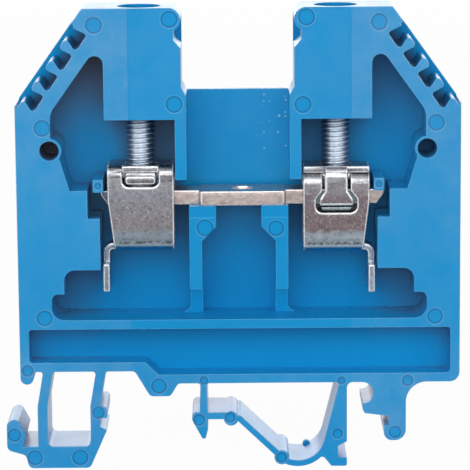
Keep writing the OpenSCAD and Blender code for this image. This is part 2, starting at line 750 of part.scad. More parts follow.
// Middle foot: a springy loop of thin arms between two hinge bosses
module spring_foot() {
    top = right_sole_z + rim / 2;
    boss_a = [spring_leg_x + boss_a_run, boss_a_z];
    boss_b = [spring_leg_x + boss_b_run, boss_b_z];
    arc_middle = [spring_leg_x + arc_run, arc_r];
    end_x = spring_leg_x + spring_end;
    leg_left = spring_leg_x - spring_leg_t / 2;
    leg_right = spring_leg_x + spring_leg_t / 2;
    base_left = spring_leg_x - spring_leg_base / 2;
    base_right = spring_leg_x + spring_leg_base / 2;
    plate([
        [leg_left - 2 * foot_r, top],
        [leg_left - 2 * foot_r, right_sole_z],
        [leg_left, right_sole_z, foot_r],
        [base_left, wedge_z + wedge_shoulder],
        [spring_leg_x - wedge_reach + wedge_shoulder / 4, wedge_z + wedge_shoulder, wedge_shoulder / 2],
        [spring_leg_x - wedge_reach, wedge_z, wedge_shoulder],
        [spring_leg_x - spring_leg_base / 5, wedge_z - wedge_tip, spring_leg_t / 4],
        [spring_leg_x + spring_leg_base / 5, wedge_z - wedge_tip, spring_leg_t / 4],
        [base_right, wedge_z - wedge_tip / 2],
        [base_right, wedge_z],
        [leg_right, right_sole_z, foot_r],
        [leg_right + 2 * foot_r, right_sole_z],
        [leg_right + 2 * foot_r, top]
    ], front_y, rear_y);
    block([spring_leg_x, boss_a[0]], [front_y, rear_y], [boss_a_z - arm_t / 8, boss_a_z + arm_t]);
    for (boss = [boss_a, boss_b]) pin_y(boss[0], boss[1], boss_d, front_y, rear_y);
    elbow = boss_a + [elbow_run, 0];
    arm = unit(boss_b - elbow);
    arm_side = [-arm[1], arm[0]] * arm_t / 2;
    elbow_shift = arm_t / 2 * tan(atan2(-arm[1], arm[0]) / 2);
    plate([
        boss_a - [0, arm_t / 2],
        elbow - [elbow_shift, arm_t / 2],
        boss_b - arm_side,
        boss_b + arm_side,
        elbow + [elbow_shift, arm_t / 2],
        boss_a + [0, arm_t / 2]
    ], front_y, rear_y);
    start = boss_b - arc_middle;
    intersection() {
        difference() {
            pin_y(arc_middle[0], arc_middle[1], 2 * arc_r, front_y, rear_y);
            pin_y(arc_middle[0], arc_middle[1], 2 * (arc_r - arm_t), front_y - over, rear_y + over);
        }
        plate([
            arc_middle,
            arc_middle + 2 * start,
            [arc_middle[0], -arc_r],
            [end_x - outer_leg_base + arm_t / 2, -arc_r],
            [end_x - outer_leg_base + arm_t / 2, outer_leg_z]
        ], front_y - over, rear_y + over);
    }
    plate([
        [end_x - outer_leg_base, outer_leg_z],
        [end_x - outer_leg_base - arm_t / 2, end_notch_z + arm_t / 8],
        [end_x - outer_leg_base, end_notch_z],
        [end_x - end_foot_w, 0],
        [end_x, 0, arm_t / 3],
        [end_x, end_notch_z, arm_t / 4],
        [end_x - end_notch, end_notch_z],
        [end_x - end_notch, end_notch_z + end_notch_h],
        [end_x, end_notch_z + end_notch_h + end_notch / 2],
        [end_x, right_sole_z, 2 * foot_r],
        [end_x + 4 * foot_r, right_sole_z],
        [end_x + 4 * foot_r, top],
        [end_x - outer_leg_t - 2 * foot_r, top],
        [end_x - outer_leg_t - 2 * foot_r, right_sole_z],
        [end_x - outer_leg_t, right_sole_z, foot_r]
    ], front_y, rear_y);
    pip = arc_middle + (arc_r - arm_t) * [sin(pip_turn), -cos(pip_turn)];
    pin_y(pip[0], pip[1], pip_d, rear_y - pip_len, rear_y);
}

// Right foot: a stiff leg with a lip over the rail and a jaw under it
module fixed_foot() {
    top = right_sole_z + rim / 2;
    lip_x = rail_right - fixed_lip;
    lip_z = rail_seat_z + fixed_lip_rise;
    leg_x = rail_right - fixed_jaw;
    outer_x = leg_x + fixed_leg_w;
    difference() {
        plate([
            [lip_x, top],
            [lip_x, lip_z + fixed_lip_t, fixed_lip_t / 3],
            [lip_x + fixed_lip_t / 2, lip_z, fixed_lip_t / 3],
            [rail_right, rail_seat_z],
            [rail_right, notch_z],
            [leg_x, notch_z, fixed_jaw / 4],
            [leg_x, fixed_bottom_z, fixed_leg_w / 2],
            [outer_x, fixed_bottom_z, fixed_leg_w / 2],
            [outer_x, right_sole_z, fixed_fillet],
            [outer_x + 2 * fixed_fillet, right_sole_z],
            [outer_x + 2 * fixed_fillet, top]
        ], front_y, rear_y);
        pin_y(lip_x, hollow_z, 2 * hollow_r, front_y - over, rear_y + over);
    }
}

module housing() {
    color([0.10, 0.47, 0.78]) on_rail() {
        difference() {
            union() {
                difference() {
                    body_plate();
                    both_sides() {
                        chamber_cut();
                        comb_cut();
                        marker_neck_cut();
                    }
                    middle_cut();
                    channel_cut();
                }
                both_sides() {
                    pin_y(hole_x, hole_z, collar_d, front_y, floor_y + back_t / 2);
                    pin_y(hole_x, hole_z, hole_d - peg_play, floor_y, rear_y + peg_h);
                    post();
                    rib();
                }
                latch_foot();
                spring_foot();
                fixed_foot();
            }
            both_sides() {
                tower_cut();
                wire_cut();
                pin_y(hole_x, hole_z, hole_d, front_y - over, front_y + hole_depth);
            }
        }
    }
}

// Flat bar, narrow inside the yokes, bevelled under its ends, with a tapped hole in the middle
module current_bar() {
    bar_left = bar_offset - bar_len / 2;
    bar_right = bar_offset + bar_len / 2;
    color([0.80, 0.76, 0.74]) on_rail() difference() {
        intersection() {
            union() {
                block([bar_left, bar_right],
                    [metal_y - bar_neck_w / 2, metal_y + bar_neck_w / 2], [bar_z, bar_top]);
                translate([bar_offset, metal_y, bar_z]) linear_extrude(bar_t) polygon([
                    [bar_wide / 2 - bar_chamfer, -bar_w / 2],
                    [bar_wide / 2, bar_chamfer - bar_w / 2],
                    [bar_wide / 2, bar_w / 2 - bar_chamfer],
                    [bar_wide / 2 - bar_chamfer, bar_w / 2],
                    [bar_chamfer - bar_wide / 2, bar_w / 2],
                    [-bar_wide / 2, bar_w / 2 - bar_chamfer],
                    [-bar_wide / 2, bar_chamfer - bar_w / 2],
                    [bar_chamfer - bar_wide / 2, -bar_w / 2]
                ]);
            }
            plate([
                [bar_left + bar_bevel_x, bar_z],
                [bar_right - bar_bevel_x, bar_z],
                [bar_right, bar_z + bar_bevel_z],
                [bar_right, bar_top],
                [bar_left, bar_top],
                [bar_left, bar_z + bar_bevel_z]
            ], front_y, floor_y);
        }
        translate([bar_offset, metal_y, bar_z - over]) cylinder(d = tap_d, h = bar_t + 2 * over);
    }
}

// Folded strip of a yoke, as a section across the bar, with the tongue's side at -Y
module yoke_strip() {
    in_y = yoke_in_w / 2;
    out_y = yoke_out_w / 2;
    in_r = yoke_r - strip_t;
    fold_in_r = fold_r - strip_t;
    profile([
        [-out_y + fold_r / 2, yoke_top],
        [out_y, yoke_top, fold_r],
        [out_y, yoke_z, yoke_r],
        [-out_y, yoke_z, yoke_r],
        [-out_y, layer_split, fold_r],
        [in_y - fold_in_r, layer_split],
        [in_y - fold_in_r, layer_split - strip_t],
        [-in_y, layer_split - strip_t, fold_in_r],
        [-in_y, yoke_floor, in_r],
        [in_y, yoke_floor, in_r],
        [in_y, yoke_top - strip_t, fold_in_r],
        [-out_y + fold_r / 2, yoke_top - strip_t]
    ], -yoke_w / 2, yoke_w / 2);
}

// Tongue that folds over from the upper layer into the window of the front wall
module yoke_tongue() {
    in_y = yoke_in_w / 2;
    out_y = yoke_out_w / 2;
    end_z = yoke_top - tongue_len;
    intersection() {
        profile([
            [-in_y + fold_r, yoke_top],
            [-out_y, yoke_top, fold_r],
            [-out_y, end_z + tongue_bevel],
            [-out_y + tongue_bevel, end_z],
            [-in_y, end_z],
            [-in_y, yoke_top - strip_t, fold_r - strip_t],
            [-in_y + fold_r, yoke_top - strip_t]
        ], -tongue_end_w / 2, tongue_end_w / 2);
        tongue_outline(0, 0, -out_y - over, in_y);
    }
}

// Outline of the tongue, grown by gaps at its neck and at its end for its window
module tongue_outline(neck_gap, end_gap, from_y, to_y) {
    end_z = yoke_top - tongue_len;
    flare_z = end_z + tongue_flare_h;
    neck_half = tongue_w / 2 + neck_gap;
    end_half = tongue_end_w / 2 + end_gap;
    plate([
        [-neck_half, yoke_top + over],
        [-neck_half, flare_z + tongue_flare_h * 3 / 4],
        [-end_half, flare_z, bulb_r],
        [-end_half, end_z - end_gap, bulb_r + end_gap / 2],
        [end_half, end_z - end_gap, bulb_r + end_gap / 2],
        [end_half, flare_z, bulb_r],
        [neck_half, flare_z + tongue_flare_h * 3 / 4],
        [neck_half, yoke_top + over]
    ], from_y, to_y);
}

// Rounded end of the lower layer that shows in the window opposite the tongue
module lower_tab_end() {
    tab_half = lower_tab_w / 2;
    tab_low = yoke_top - lower_tab_down;
    tab_high = layer_split - strip_t / 2;
    plate([
        [-tab_half, tab_low, strip_t / 2],
        [tab_half, tab_low, strip_t / 2],
        [tab_half, tab_high, strip_t / 2],
        [-tab_half, tab_high, strip_t / 2]
    ], yoke_in_w / 2 - strip_t / 4, yoke_out_w / 2 - layer_gap);
}

// Tab and wire shield that hang from the bottom of a yoke beside the wire guide
module wire_shield() {
    shield_out = guide_x - shield_gap - screw_x;
    shield_z = yoke_z - shield_drop;
    intersection() {
        plate([
            [yoke_w / 2 - edge_slant - yoke_r, yoke_floor],
            [shield_out, yoke_floor, fold_r],
            [shield_out, shield_z],
            [shield_out - strip_t, shield_z],
            [shield_out - strip_t, yoke_z, fold_r - strip_t],
            [yoke_w / 2 - edge_slant - yoke_r, yoke_z]
        ], -shield_w / 2, shield_w / 2);
        union() {
            block([0, yoke_w], [-tab_w / 2, tab_w / 2], [shield_z, yoke_floor]);
            block([0, yoke_w], [-shield_w / 2, shield_w / 2], [shield_z, shield_z + shield_h]);
        }
    }
}

// One clamp yoke about its screw axis, with its slanted edge and shield at +X
module yoke() {
    in_y = yoke_in_w / 2;
    out_y = yoke_out_w / 2;
    half = yoke_w / 2;
    difference() {
        union() {
            difference() {
                intersection() {
                    yoke_strip();
                    plate([
                        [-half, yoke_z],
                        [half - edge_slant, yoke_z],
                        [half, yoke_z + edge_slant_h],
                        [half, yoke_top],
                        [-half, yoke_top]
                    ], -out_y, out_y);
                }
                intersection() {
                    tongue_outline(tongue_gap, bulb_gap, -out_y - over, -in_y + tongue_gap);
                    block([-half, half], [-yoke_w, yoke_w], [yoke_z, layer_split + layer_gap / 2]);
                }
                plate([
                    [-window_w / 2, yoke_top - window_down, strip_t],
                    [window_w / 2, yoke_top - window_down, strip_t],
                    [window_w / 2, yoke_top - strip_t],
                    [-window_w / 2, yoke_top - strip_t]
                ], in_y - tongue_gap / 4, out_y + over);
            }
            yoke_tongue();
            block([-window_w / 2, window_w / 2], [0, out_y], [yoke_top - strip_t, yoke_top]);
            block([-lower_tab_w / 2, lower_tab_w / 2], [0, in_y + strip_t / 2],
                [layer_split - strip_t, layer_split]);
            lower_tab_end();
            translate([0, 0, layer_split - strip_t - thread_collar_h])
                cylinder(r = thread_collar_r, h = thread_collar_h + strip_t / 2);
            wire_shield();
        }
        translate([0, 0, yoke_floor + over]) cylinder(r = screw_d / 2 + thread_play, h = yoke_h);
    }
}

module left_clamp_yoke() {
    color([0.72, 0.72, 0.73]) on_rail()
        translate([-screw_x, metal_y, left_rise]) rotate([0, 0, 180]) yoke();
}
module right_clamp_yoke() {
    color([0.72, 0.72, 0.73]) on_rail() translate([screw_x, metal_y, 0]) yoke();
}

// Slotted clamp screw whose tip stands on the bar
module screw() {
    difference() {
        union() {
            translate([0, 0, tip_z])
                cylinder(d1 = screw_d - 2 * tip_chamfer, d2 = screw_d, h = tip_chamfer);
            translate([0, 0, tip_z + tip_chamfer]) cylinder(d = screw_d, h = head_z - tip_z);
            translate([0, 0, head_z]) cylinder(d = head_d, h = head_h);
        }
        block([-head_d, head_d], [-driver_slot_w / 2, driver_slot_w / 2],
            [head_z + head_h - driver_slot_h, head_z + head_h + over]);
    }
}
module left_clamp_screw() {
    color([0.78, 0.80, 0.84]) on_rail() translate([-screw_x, metal_y, 0]) screw();
}
module right_clamp_screw() {
    color([0.78, 0.80, 0.84]) on_rail() translate([screw_x, metal_y, 0]) screw();
}

housing();
current_bar();
left_clamp_yoke();
right_clamp_yoke();
left_clamp_screw();
right_clamp_screw();
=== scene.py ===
"""Looks of the screw terminal block: rounded edges, marks, threaded screws, finishes, light and camera."""

import math

import bmesh
import bpy
from mathutils import Matrix, Vector
from mathutils.bvhtree import BVHTree


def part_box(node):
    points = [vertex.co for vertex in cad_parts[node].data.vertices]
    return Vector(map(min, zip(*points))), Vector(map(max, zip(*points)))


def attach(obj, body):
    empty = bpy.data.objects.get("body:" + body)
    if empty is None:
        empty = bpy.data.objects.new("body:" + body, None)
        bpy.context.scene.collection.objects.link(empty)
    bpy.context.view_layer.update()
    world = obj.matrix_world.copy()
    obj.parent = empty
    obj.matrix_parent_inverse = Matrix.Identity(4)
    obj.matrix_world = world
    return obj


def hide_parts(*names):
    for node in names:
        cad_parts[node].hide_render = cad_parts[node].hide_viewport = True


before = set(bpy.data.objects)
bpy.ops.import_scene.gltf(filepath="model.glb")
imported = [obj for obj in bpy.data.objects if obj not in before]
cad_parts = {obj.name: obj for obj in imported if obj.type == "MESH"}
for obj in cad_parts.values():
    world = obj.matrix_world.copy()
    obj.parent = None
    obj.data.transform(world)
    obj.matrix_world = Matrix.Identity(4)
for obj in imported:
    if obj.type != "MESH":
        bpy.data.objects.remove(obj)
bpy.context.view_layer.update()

MM = 0.001
SIDES = ("left", "right")


def box_mm(node):
    """Lowest and highest corner of a solid at rest, in millimetres."""
    low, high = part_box(node)
    return low / MM, high / MM


# Places of the solids, in millimetres, in the part's frame
FLOOR_Z = box_mm("housing")[0].z
FRONT_Y = box_mm("housing")[0].y
BACK_Y = -FRONT_Y
BAR_TOP_Z = box_mm("current_bar")[1].z
SCREW_BOXES = {side: box_mm(f"{side}_clamp_screw") for side in SIDES}
SCREW_LOW, SCREW_HIGH = SCREW_BOXES["left"]
SCREW_X = {side: (low.x + high.x) / 2 for side, (low, high) in SCREW_BOXES.items()}
SCREW_Y = (SCREW_LOW.y + SCREW_HIGH.y) / 2
MIDDLE_X = (SCREW_X["left"] + SCREW_X["right"]) / 2
YOKE_H = 10.4
YOKE_Z = {side: box_mm(f"{side}_clamp_yoke")[1].z - YOKE_H for side in SIDES}

# Screws, in millimetres; crest and flank are shares of half a pitch
SCREW_TIP_Z = SCREW_LOW.z
HEAD_TOP_Z = SCREW_HIGH.z
HEAD_R = (SCREW_HIGH.x - SCREW_LOW.x) / 2
HEAD_H = 2.8
HEAD_Z = HEAD_TOP_Z - HEAD_H
HEAD_RIM = 0.25
SLOT_W = 0.9
SLOT_H = 1.3
THREAD_R = 1.75
THREAD_DEPTH = 0.3
THREAD_PITCH = 0.6
THREAD_CREST = 0.16
THREAD_FLANK = 0.68
TIP_CHAMFER = 0.5
SCREW_SEGMENTS = 48
STEPS_PER_PITCH = 14

# Rounding of edges, in millimetres
MOULD_EDGE = 0.1
BAR_EDGE = 0.1
STRIP_EDGE = 0.18
TONGUE_EDGE = 0.26
EDGE_SEGMENTS = 2
STRIP_SEGMENTS = 3
TONGUE_SEGMENTS = 4

# Gaps between points that are merged, in millimetres, and angles that tell edges apart, in degrees
SAME_POINT = 0.0001
SLIVER = 0.001
FLAT_ANGLE = 0.4
ROUNDED_ANGLE = 28.0
CREASE_ANGLE = 38.0
THREAD_CREASE_ANGLE = 35.0

# Material slots of a rounded piece; the rim slot takes a paler tone, a painted highlight, and the inner slot
# is for the marks' walls, in painted shade, and the tongue's end, in a painted highlight
FACE, RIM, INNER, SIDE = range(4)

# Components of the normal below which a face is seen edgewise, faces the front or faces down
EDGEWISE_Y = 0.5
FRONTWARD_Y = -0.99
DOWNWARD_Z = -0.3

# Locking tongue of the yokes, in millimetres, and the way that its rolled lip points
TONGUE_HALF = 2.2
TONGUE_LEAST_H = 2.0
TONGUE_END_Z = (25.2, 26.5)
LIP_UP = 5.3
LIP_OUTWARD = {"left": 1.0, "right": -1.0}

# Section of the lip: outwards from the screw's axis, up from the lip's place, half width
LIP_SECTION = [
    (2.68, 0.2, 1.8), (2.56, 0.0, 1.76), (2.42, -0.16, 1.66),
    (2.24, -0.26, 1.5), (2.08, -0.26, 1.5), (2.08, 0.2, 1.8),
]

# Step between the two halves of each tower's face, in millimetres
TOWER_STEP_X = {"left": -13.55, "right": 13.03}
TOWER_INNER_X = {"left": -4.0, "right": 4.0}
TOWER_UNDER_Z = 36.45
TOWER_OVER_Z = 60.0
STEP_DEPTH = 0.04

# Ledge near the top of each inner post, in millimetres
POST_SPANS = ((-7.0, -2.6), (1.8, 6.2))
POST_LEDGE_Z = 24.55
POST_LEDGE_H = 1.8
POST_LEDGE_DEPTH = 0.1
POST_LEDGE_RISE = 1.2

# How far the cutters reach past the faces that they cut, in millimetres
CUT_AHEAD = 0.3
CUT_BELOW = 0.2

# Profile of a round mark, in millimetres: depth, and how far beyond the mark's radius
MARK_PROFILE = [(-0.05, 0.5), (0.02, 0.06), (0.13, -0.14)]
MARK_SEGMENTS = 28

# Marks of the gate and the insert pins in the back: x, z, radius
BACK_MARKS = [(-0.5, 20.0, 1.5), (-21.5, 8.0, 0.9), (20.5, 8.0, 0.9), (-8.5, 46.0, 0.9), (7.5, 46.0, 0.9)]

# Marks of the ejector pins in the front plane: x, z, radius
EJECTOR_MARKS = [
    (-17.51, 47.82, 0.96), (-23.87, 35.56, 0.96), (-8.56, 48.46, 0.96), (-8.07, 38.32, 0.96),
    (7.71, 48.62, 0.96), (16.33, 47.98, 0.96), (7.26, 38.18, 0.96), (23.14, 35.92, 0.96),
    (-24.01, 12.44, 0.92), (23.10, 12.36, 0.90), (-26.22, 5.98, 0.68), (-10.32, 3.96, 0.90),
    (-4.86, 4.62, 0.48), (-17.71, 0.72, 0.72), (-27.97, -2.02, 0.78), (-25.54, -4.87, 0.90),
    (-20.02, -4.87, 0.94), (-5.49, -0.29, 0.68), (-1.75, -0.01, 0.60), (4.52, -5.06, 0.60),
    (11.80, 4.50, 0.44), (11.32, -2.12, 0.60), (19.82, 4.41, 0.66), (18.29, -1.99, 0.72),
    (-4.56, 23.39, 0.96), (3.99, 23.26, 0.90), (-17.33, 28.55, 0.38), (16.33, 28.55, 0.38),
]

# Tones of the plastic, deep and light, a paler copy for rounded edges (painted highlight) and a darker one
# for marks' walls (painted shade), and of what lies on it: painted reflection, painted light, painted shade
# and pale dust specks
BLUE = ((0.0006, 0.26, 0.58), (0.0014, 0.28, 0.61))
PAINTED_HIGHLIGHT_BLUE = ((0.02, 0.30, 0.62), (0.04, 0.33, 0.66))
PAINTED_SHADE_BLUE = ((0.0006, 0.15, 0.37), (0.0010, 0.17, 0.40))
PAINTED_REFLECTION_WHITE = (1.0, 0.92, 0.8)
PAINTED_TROUGH_BLUE = (0.45, 0.95, 1.0)
PAINTED_CORNER_GREY = (0.13, 0.12, 0.16)
PAINTED_COMB_DARK = (0.04, 0.06, 0.12)
SPECK = (0.75, 0.80, 0.84)

# Zinc of the yokes low, in the middle and high on the strip, and what lies on it; the pale bluish low tone,
# the bright bend tone, the pale glints and the blue low on the strip are painted reflections and painted
# highlights
YOKE_TONES = {
    "left": ((0.29, 0.36, 0.42), (0.32, 0.30, 0.32), (0.32, 0.33, 0.38)),
    "right": ((0.37, 0.44, 0.51), (0.25, 0.19, 0.20), (0.25, 0.21, 0.23)),
}
PAINTED_BEND_HIGHLIGHT = (0.46, 0.47, 0.49)
BEND_STREAK = (0.10, 0.11, 0.13)
ZINC_PIT = (0.12, 0.10, 0.11)
PAINTED_GLINT_ZINC = (0.85, 0.85, 0.88)
TOOL_LINE = (0.05, 0.055, 0.06)
PAINTED_BLUE_REFLECTION = (0.12, 0.44, 0.58)

# Tones of cut edges, dark and light: pale tones that are a painted highlight, and on the tongue's end a pale
# teal that adds a painted reflection of the blue plastic
YOKE_EDGE_HIGHLIGHT_ZINC = ((0.55, 0.57, 0.60), (0.90, 0.91, 0.93))
TONGUE_END_HIGHLIGHT_TEAL = ((0.36, 0.47, 0.50), (0.56, 0.68, 0.71))
BAR_EDGE_HIGHLIGHT_TIN = ((0.62, 0.56, 0.54), (0.90, 0.85, 0.83))

# Tones of the screws and the bar; all but the crest and tin tones are painted shade
CREST_ZINC = ((0.57, 0.63, 0.70), (0.71, 0.77, 0.84))
PAINTED_GROOVE_SHADE = (0.2, 0.24, 0.29)
PAINTED_SCREW_SHADE = (0.07, 0.13, 0.20)
TIN = ((0.42, 0.33, 0.30), (0.68, 0.60, 0.58), (0.82, 0.77, 0.75))
PAINTED_SHADE_TIN = (0.28, 0.23, 0.21)
PAINTED_CLAMP_SHADE = (0.14, 0.21, 0.24)
PAINTED_END_SHADE = (0.05, 0.09, 0.13)

# Noise: what most of its values lie between, its scale in the metals per metre, and shares of that scale
NOISE_RANGE = (0.3, 0.7)
METAL_GRAIN = 2600.0
STRIP_GRAIN = 3600.0
GLOSS_GRAIN = 0.55
BUMP_GRAIN = 1.4
ALONG_BAR = (0.55, 1.0, 1.0)

# Marker combs, in millimetres from the block's middle: a point on the line of their tips, and its normal
COMB_TIP = (19.25, 47.9)
COMB_NORMAL = (0.806, 0.591)

# Camera that fits the photo's outline: place and lens in millimetres, turns in degrees, clip in metres
CAMERA_PLACE = (-0.61, -322.5, 79.22)
CAMERA_PITCH = 10.098
CAMERA_YAW = -0.063
CAMERA_ROLL = -0.4705
CAMERA_LENS = 206.52
CAMERA_SENSOR = 36.0
CAMERA_CLIP = (0.01, 100.0)

# Stage, in millimetres, with its tones and its share of white
WHITE = (1.0, 1.0, 1.0)
FLOOR_REACH = 6000.0
FLOOR_GREY = (0.88, 0.88, 0.88)
FLOOR_WHITE_SHARE = 0.97
FLAG_LIFT = 0.2
FLAG_NEAR_Y = -420.0
FLAG_NEAR_HALF = 75.0
FLAG_FAR_Y = -60.0
FLAG_FAR_HALF = 60.0
FLAG_GLOW = 0.28
DAYLIGHT = (0.96, 0.98, 1.0)
DAYLIGHT_STRENGTH = 0.06

# Softboxes: name, place and size in millimetres, power in watts
LAMP_TARGET = (0, 0, 20)
LAMPS = [
    ("front", (0, -606, 370), (480, 480), 1.45),
    ("front_low", (0, -690, 110), (640, 200), 0.6),
    ("front_left", (-390, -464, 370), (480, 480), 1.75),
    ("front_right", (390, -464, 370), (480, 480), 1.15),
    ("back", (0, 700, 160), (1000, 320), 1.45),
    ("back_right", (486, 408, 316), (320, 320), 0.97),
]


# Meshes

def make_mesh_object(name, mesh, materials):
    """A new object in the scene; each face keeps its slot number."""
    piece = bpy.data.objects.new(name, mesh)
    bpy.context.scene.collection.objects.link(piece)
    slots = mesh.materials
    for index, material in enumerate(materials):
        if index < len(slots):
            slots[index] = material
        else:
            slots.append(material)
    return piece


def mesh_from(work, name):
    """Mesh data made from a working mesh, which is freed."""
    mesh = bpy.data.meshes.new(name)
    work.to_mesh(mesh)
    work.free()
    return mesh


def soften(mesh, crease_deg):
    """Smooth shading that stays flat across edges sharper than the given angle."""
    work = bmesh.new()
    work.from_mesh(mesh)
    limit = math.radians(crease_deg)
    for face in work.faces:
        face.smooth = True
    for edge in work.edges:
        edge.smooth = len(edge.link_faces) == 2 and edge.calc_face_angle(0.0) < limit
    work.to_mesh(mesh)
    work.free()


def close_up(mesh):
    """Merges the slivers that rounding and cutting leave behind."""
    work = bmesh.new()
    work.from_mesh(mesh)
    bmesh.ops.remove_doubles(work, verts=work.verts, dist=SLIVER * MM)
    bmesh.ops.dissolve_degenerate(work, edges=work.edges, dist=SLIVER * MM)
    work.to_mesh(mesh)
    work.free()


def circle(count):
    """Directions round a circle."""
    angles = [2 * math.pi * j / count for j in range(count)]
    return [(math.cos(angle), math.sin(angle)) for angle in angles]


def skin(work, rings, slots=None):
    """Closed skin over a stack of rings, with a slot for each band between two rings; returns its faces."""
    count = len(rings[0])
    faces = []
    for band, (low, high) in enumerate(zip(rings, rings[1:])):
        for j in range(count):
            after = (j + 1) % count
            face = work.faces.new((low[j], low[after], high[after], high[j]))
            face.material_index = slots[band] if slots else FACE
            faces.append(face)
    faces.append(work.faces.new(list(reversed(rings[0]))))
    faces.append(work.faces.new(rings[-1]))
    return faces


# Steps and marks cut into the moulding

def mark_cutter(work, x, z, radius, face_y, inward):
    """Shallow disc that cuts one round mark: a slope outside in the rim's paler tone, a painted highlight,
    and a wall inside in a darker tone, a painted shade.
    """
    rings = []
    for depth, beyond in MARK_PROFILE:
        ring = []
        for across, up in circle(MARK_SEGMENTS):
            reach = radius + beyond
            spot = Vector((x + reach * across, face_y + inward * depth, z + reach * up))
            ring.append(work.verts.new(spot * MM))
        rings.append(ring)
    skin(work, rings, (RIM, INNER))


def step_cutter(work, span_x, span_z, depth, rise=0.0):
    """Thin slab that sets back a part of the front plane; a lower face that rises inwards gets the rim's
    paler tone, a painted highlight.
    """
    verts = []
    for x in sorted(span_x):
        for y in (FRONT_Y - CUT_AHEAD, FRONT_Y + depth):
            for z in (span_z[0] + rise * (y - FRONT_Y), span_z[1]):
                verts.append(work.verts.new(Vector((x, y, z)) * MM))
    for loop in ((0, 1, 3, 2), (4, 6, 7, 5), (0, 4, 5, 1), (2, 3, 7, 6), (1, 5, 7, 3)):
        work.faces.new([verts[i] for i in loop])
    lower = work.faces.new([verts[i] for i in (0, 2, 6, 4)])
    lower.material_index = RIM if rise else FACE


def all_steps(work):
    """Cutters of the tower steps and the post ledges."""
    for side in SIDES:
        step_cutter(work, (TOWER_STEP_X[side], TOWER_INNER_X[side]),
                    (TOWER_UNDER_Z - CUT_BELOW, TOWER_OVER_Z), STEP_DEPTH)
    ledge_z = (POST_LEDGE_Z, POST_LEDGE_Z + POST_LEDGE_H)
    for span_x in POST_SPANS:
        step_cutter(work, span_x, ledge_z, POST_LEDGE_DEPTH, POST_LEDGE_RISE)


def all_marks(work):
    """Cutters of the round marks in the front plane, in the set-back halves of the towers and in the back."""
    for x, z, radius in EJECTOR_MARKS:
        set_back = TOWER_STEP_X["left"] < x < TOWER_STEP_X["right"] and z > TOWER_UNDER_Z
        face_y = FRONT_Y + STEP_DEPTH if set_back else FRONT_Y
        mark_cutter(work, x, z, radius, face_y, inward=1.0)
    for x, z, radius in BACK_MARKS:
        mark_cutter(work, x, z, radius, BACK_Y, inward=-1.0)


def cutter_object(name, add_all, materials):
    """An object that holds all the cutters of one kind."""
    work = bmesh.new()
    add_all(work)
    bmesh.ops.recalc_face_normals(work, faces=work.faces)
    return make_mesh_object(name, mesh_from(work, name), materials)


def cut_marks(mesh, materials):
    """The mesh with steps, ledges and round marks cut into it; the marks' walls get their own slots."""
    piece = make_mesh_object("marked", mesh, materials)
    cutters = [cutter_object("steps", all_steps, materials), cutter_object("marks", all_marks, materials)]
    for cutter in cutters:
        cut = piece.modifiers.new(cutter.name, "BOOLEAN")
        cut.operation = "DIFFERENCE"
        cut.solver = "EXACT"
        cut.use_self = True
        cut.object = cutter
    marked = bpy.data.meshes.new_from_object(piece.evaluated_get(bpy.context.evaluated_depsgraph_get()))
    for helper in (piece, *cutters):
        bpy.data.objects.remove(helper)
    return marked


# Pieces with rounded edges

def solid_copy(node):
    """Working copy of a solid, with each flat face in one piece."""
    work = bmesh.new()
    work.from_mesh(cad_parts[node].data)
    bmesh.ops.remove_doubles(work, verts=work.verts, dist=SAME_POINT * MM)
    flat = math.radians(FLAT_ANGLE)
    bmesh.ops.dissolve_limit(work, angle_limit=flat, verts=work.verts, edges=work.edges)
    for face in work.faces:
        face.material_index = FACE
    return work


def round_edges(work, edges, radius_mm, segments):
    """Bevel of some edges; vertices that a tight corner throws off go back to the surface."""
    surface = BVHTree.FromBMesh(work)
    bmesh.ops.bevel(
        work, geom=edges, offset=radius_mm * MM, offset_type="OFFSET", segments=segments, profile=0.5,
        affect="EDGES", clamp_overlap=False, material=RIM, loop_slide=True)
    for vertex in work.verts:
        nearest, _, _, gap = surface.find_nearest(vertex.co)
        if gap > radius_mm * MM:
            vertex.co = nearest


def round_outer_edges(work, radius_mm, segments=EDGE_SEGMENTS):
    """Rounds every sharp outer edge; the rounded faces get the rim's slot."""
    limit = math.radians(ROUNDED_ANGLE)
    sharp = [edge for edge in work.edges
             if len(edge.link_faces) == 2 and edge.is_convex and edge.calc_face_angle(0.0) > limit]
    round_edges(work, sharp, radius_mm, segments)


def finished_piece(name, mesh, materials):
    """A piece without slivers, smooth between its creases, with its flat faces shaded flat."""
    close_up(mesh)
    soften(mesh, CREASE_ANGLE)
    piece = make_mesh_object(name, mesh, materials)
    weighted = piece.modifiers.new("flat_faces", "WEIGHTED_NORMAL")
    weighted.keep_sharp = True
    return piece


def housing_piece(name, materials):
    """The moulding with rounded edges, steps and marks; faces seen edgewise have a slot of their own."""
    work = solid_copy("housing")
    for face in work.faces:
        if abs(face.normal.y) < EDGEWISE_Y:
            face.material_index = SIDE
    round_outer_edges(work, MOULD_EDGE)
    return finished_piece(name, cut_marks(mesh_from(work, name), materials), materials)


def bar_piece(name, materials):
    """The current bar with rounded edges."""
    work = solid_copy("current_bar")
    round_outer_edges(work, BAR_EDGE)
    return finished_piece(name, mesh_from(work, name), materials)


def tongue_edges(work, middle_x):
    """Outline of a yoke's locking tongue, the one narrow and tall face in front; none where it is behind."""
    for face in work.faces:
        aside = [abs(vertex.co.x / MM - middle_x) for vertex in face.verts]
        heights = [vertex.co.z / MM for vertex in face.verts]
        tall = max(heights) - min(heights) > TONGUE_LEAST_H
        if face.normal.y < FRONTWARD_Y and max(aside) < TONGUE_HALF and tall:
            return list(face.edges)
    return []


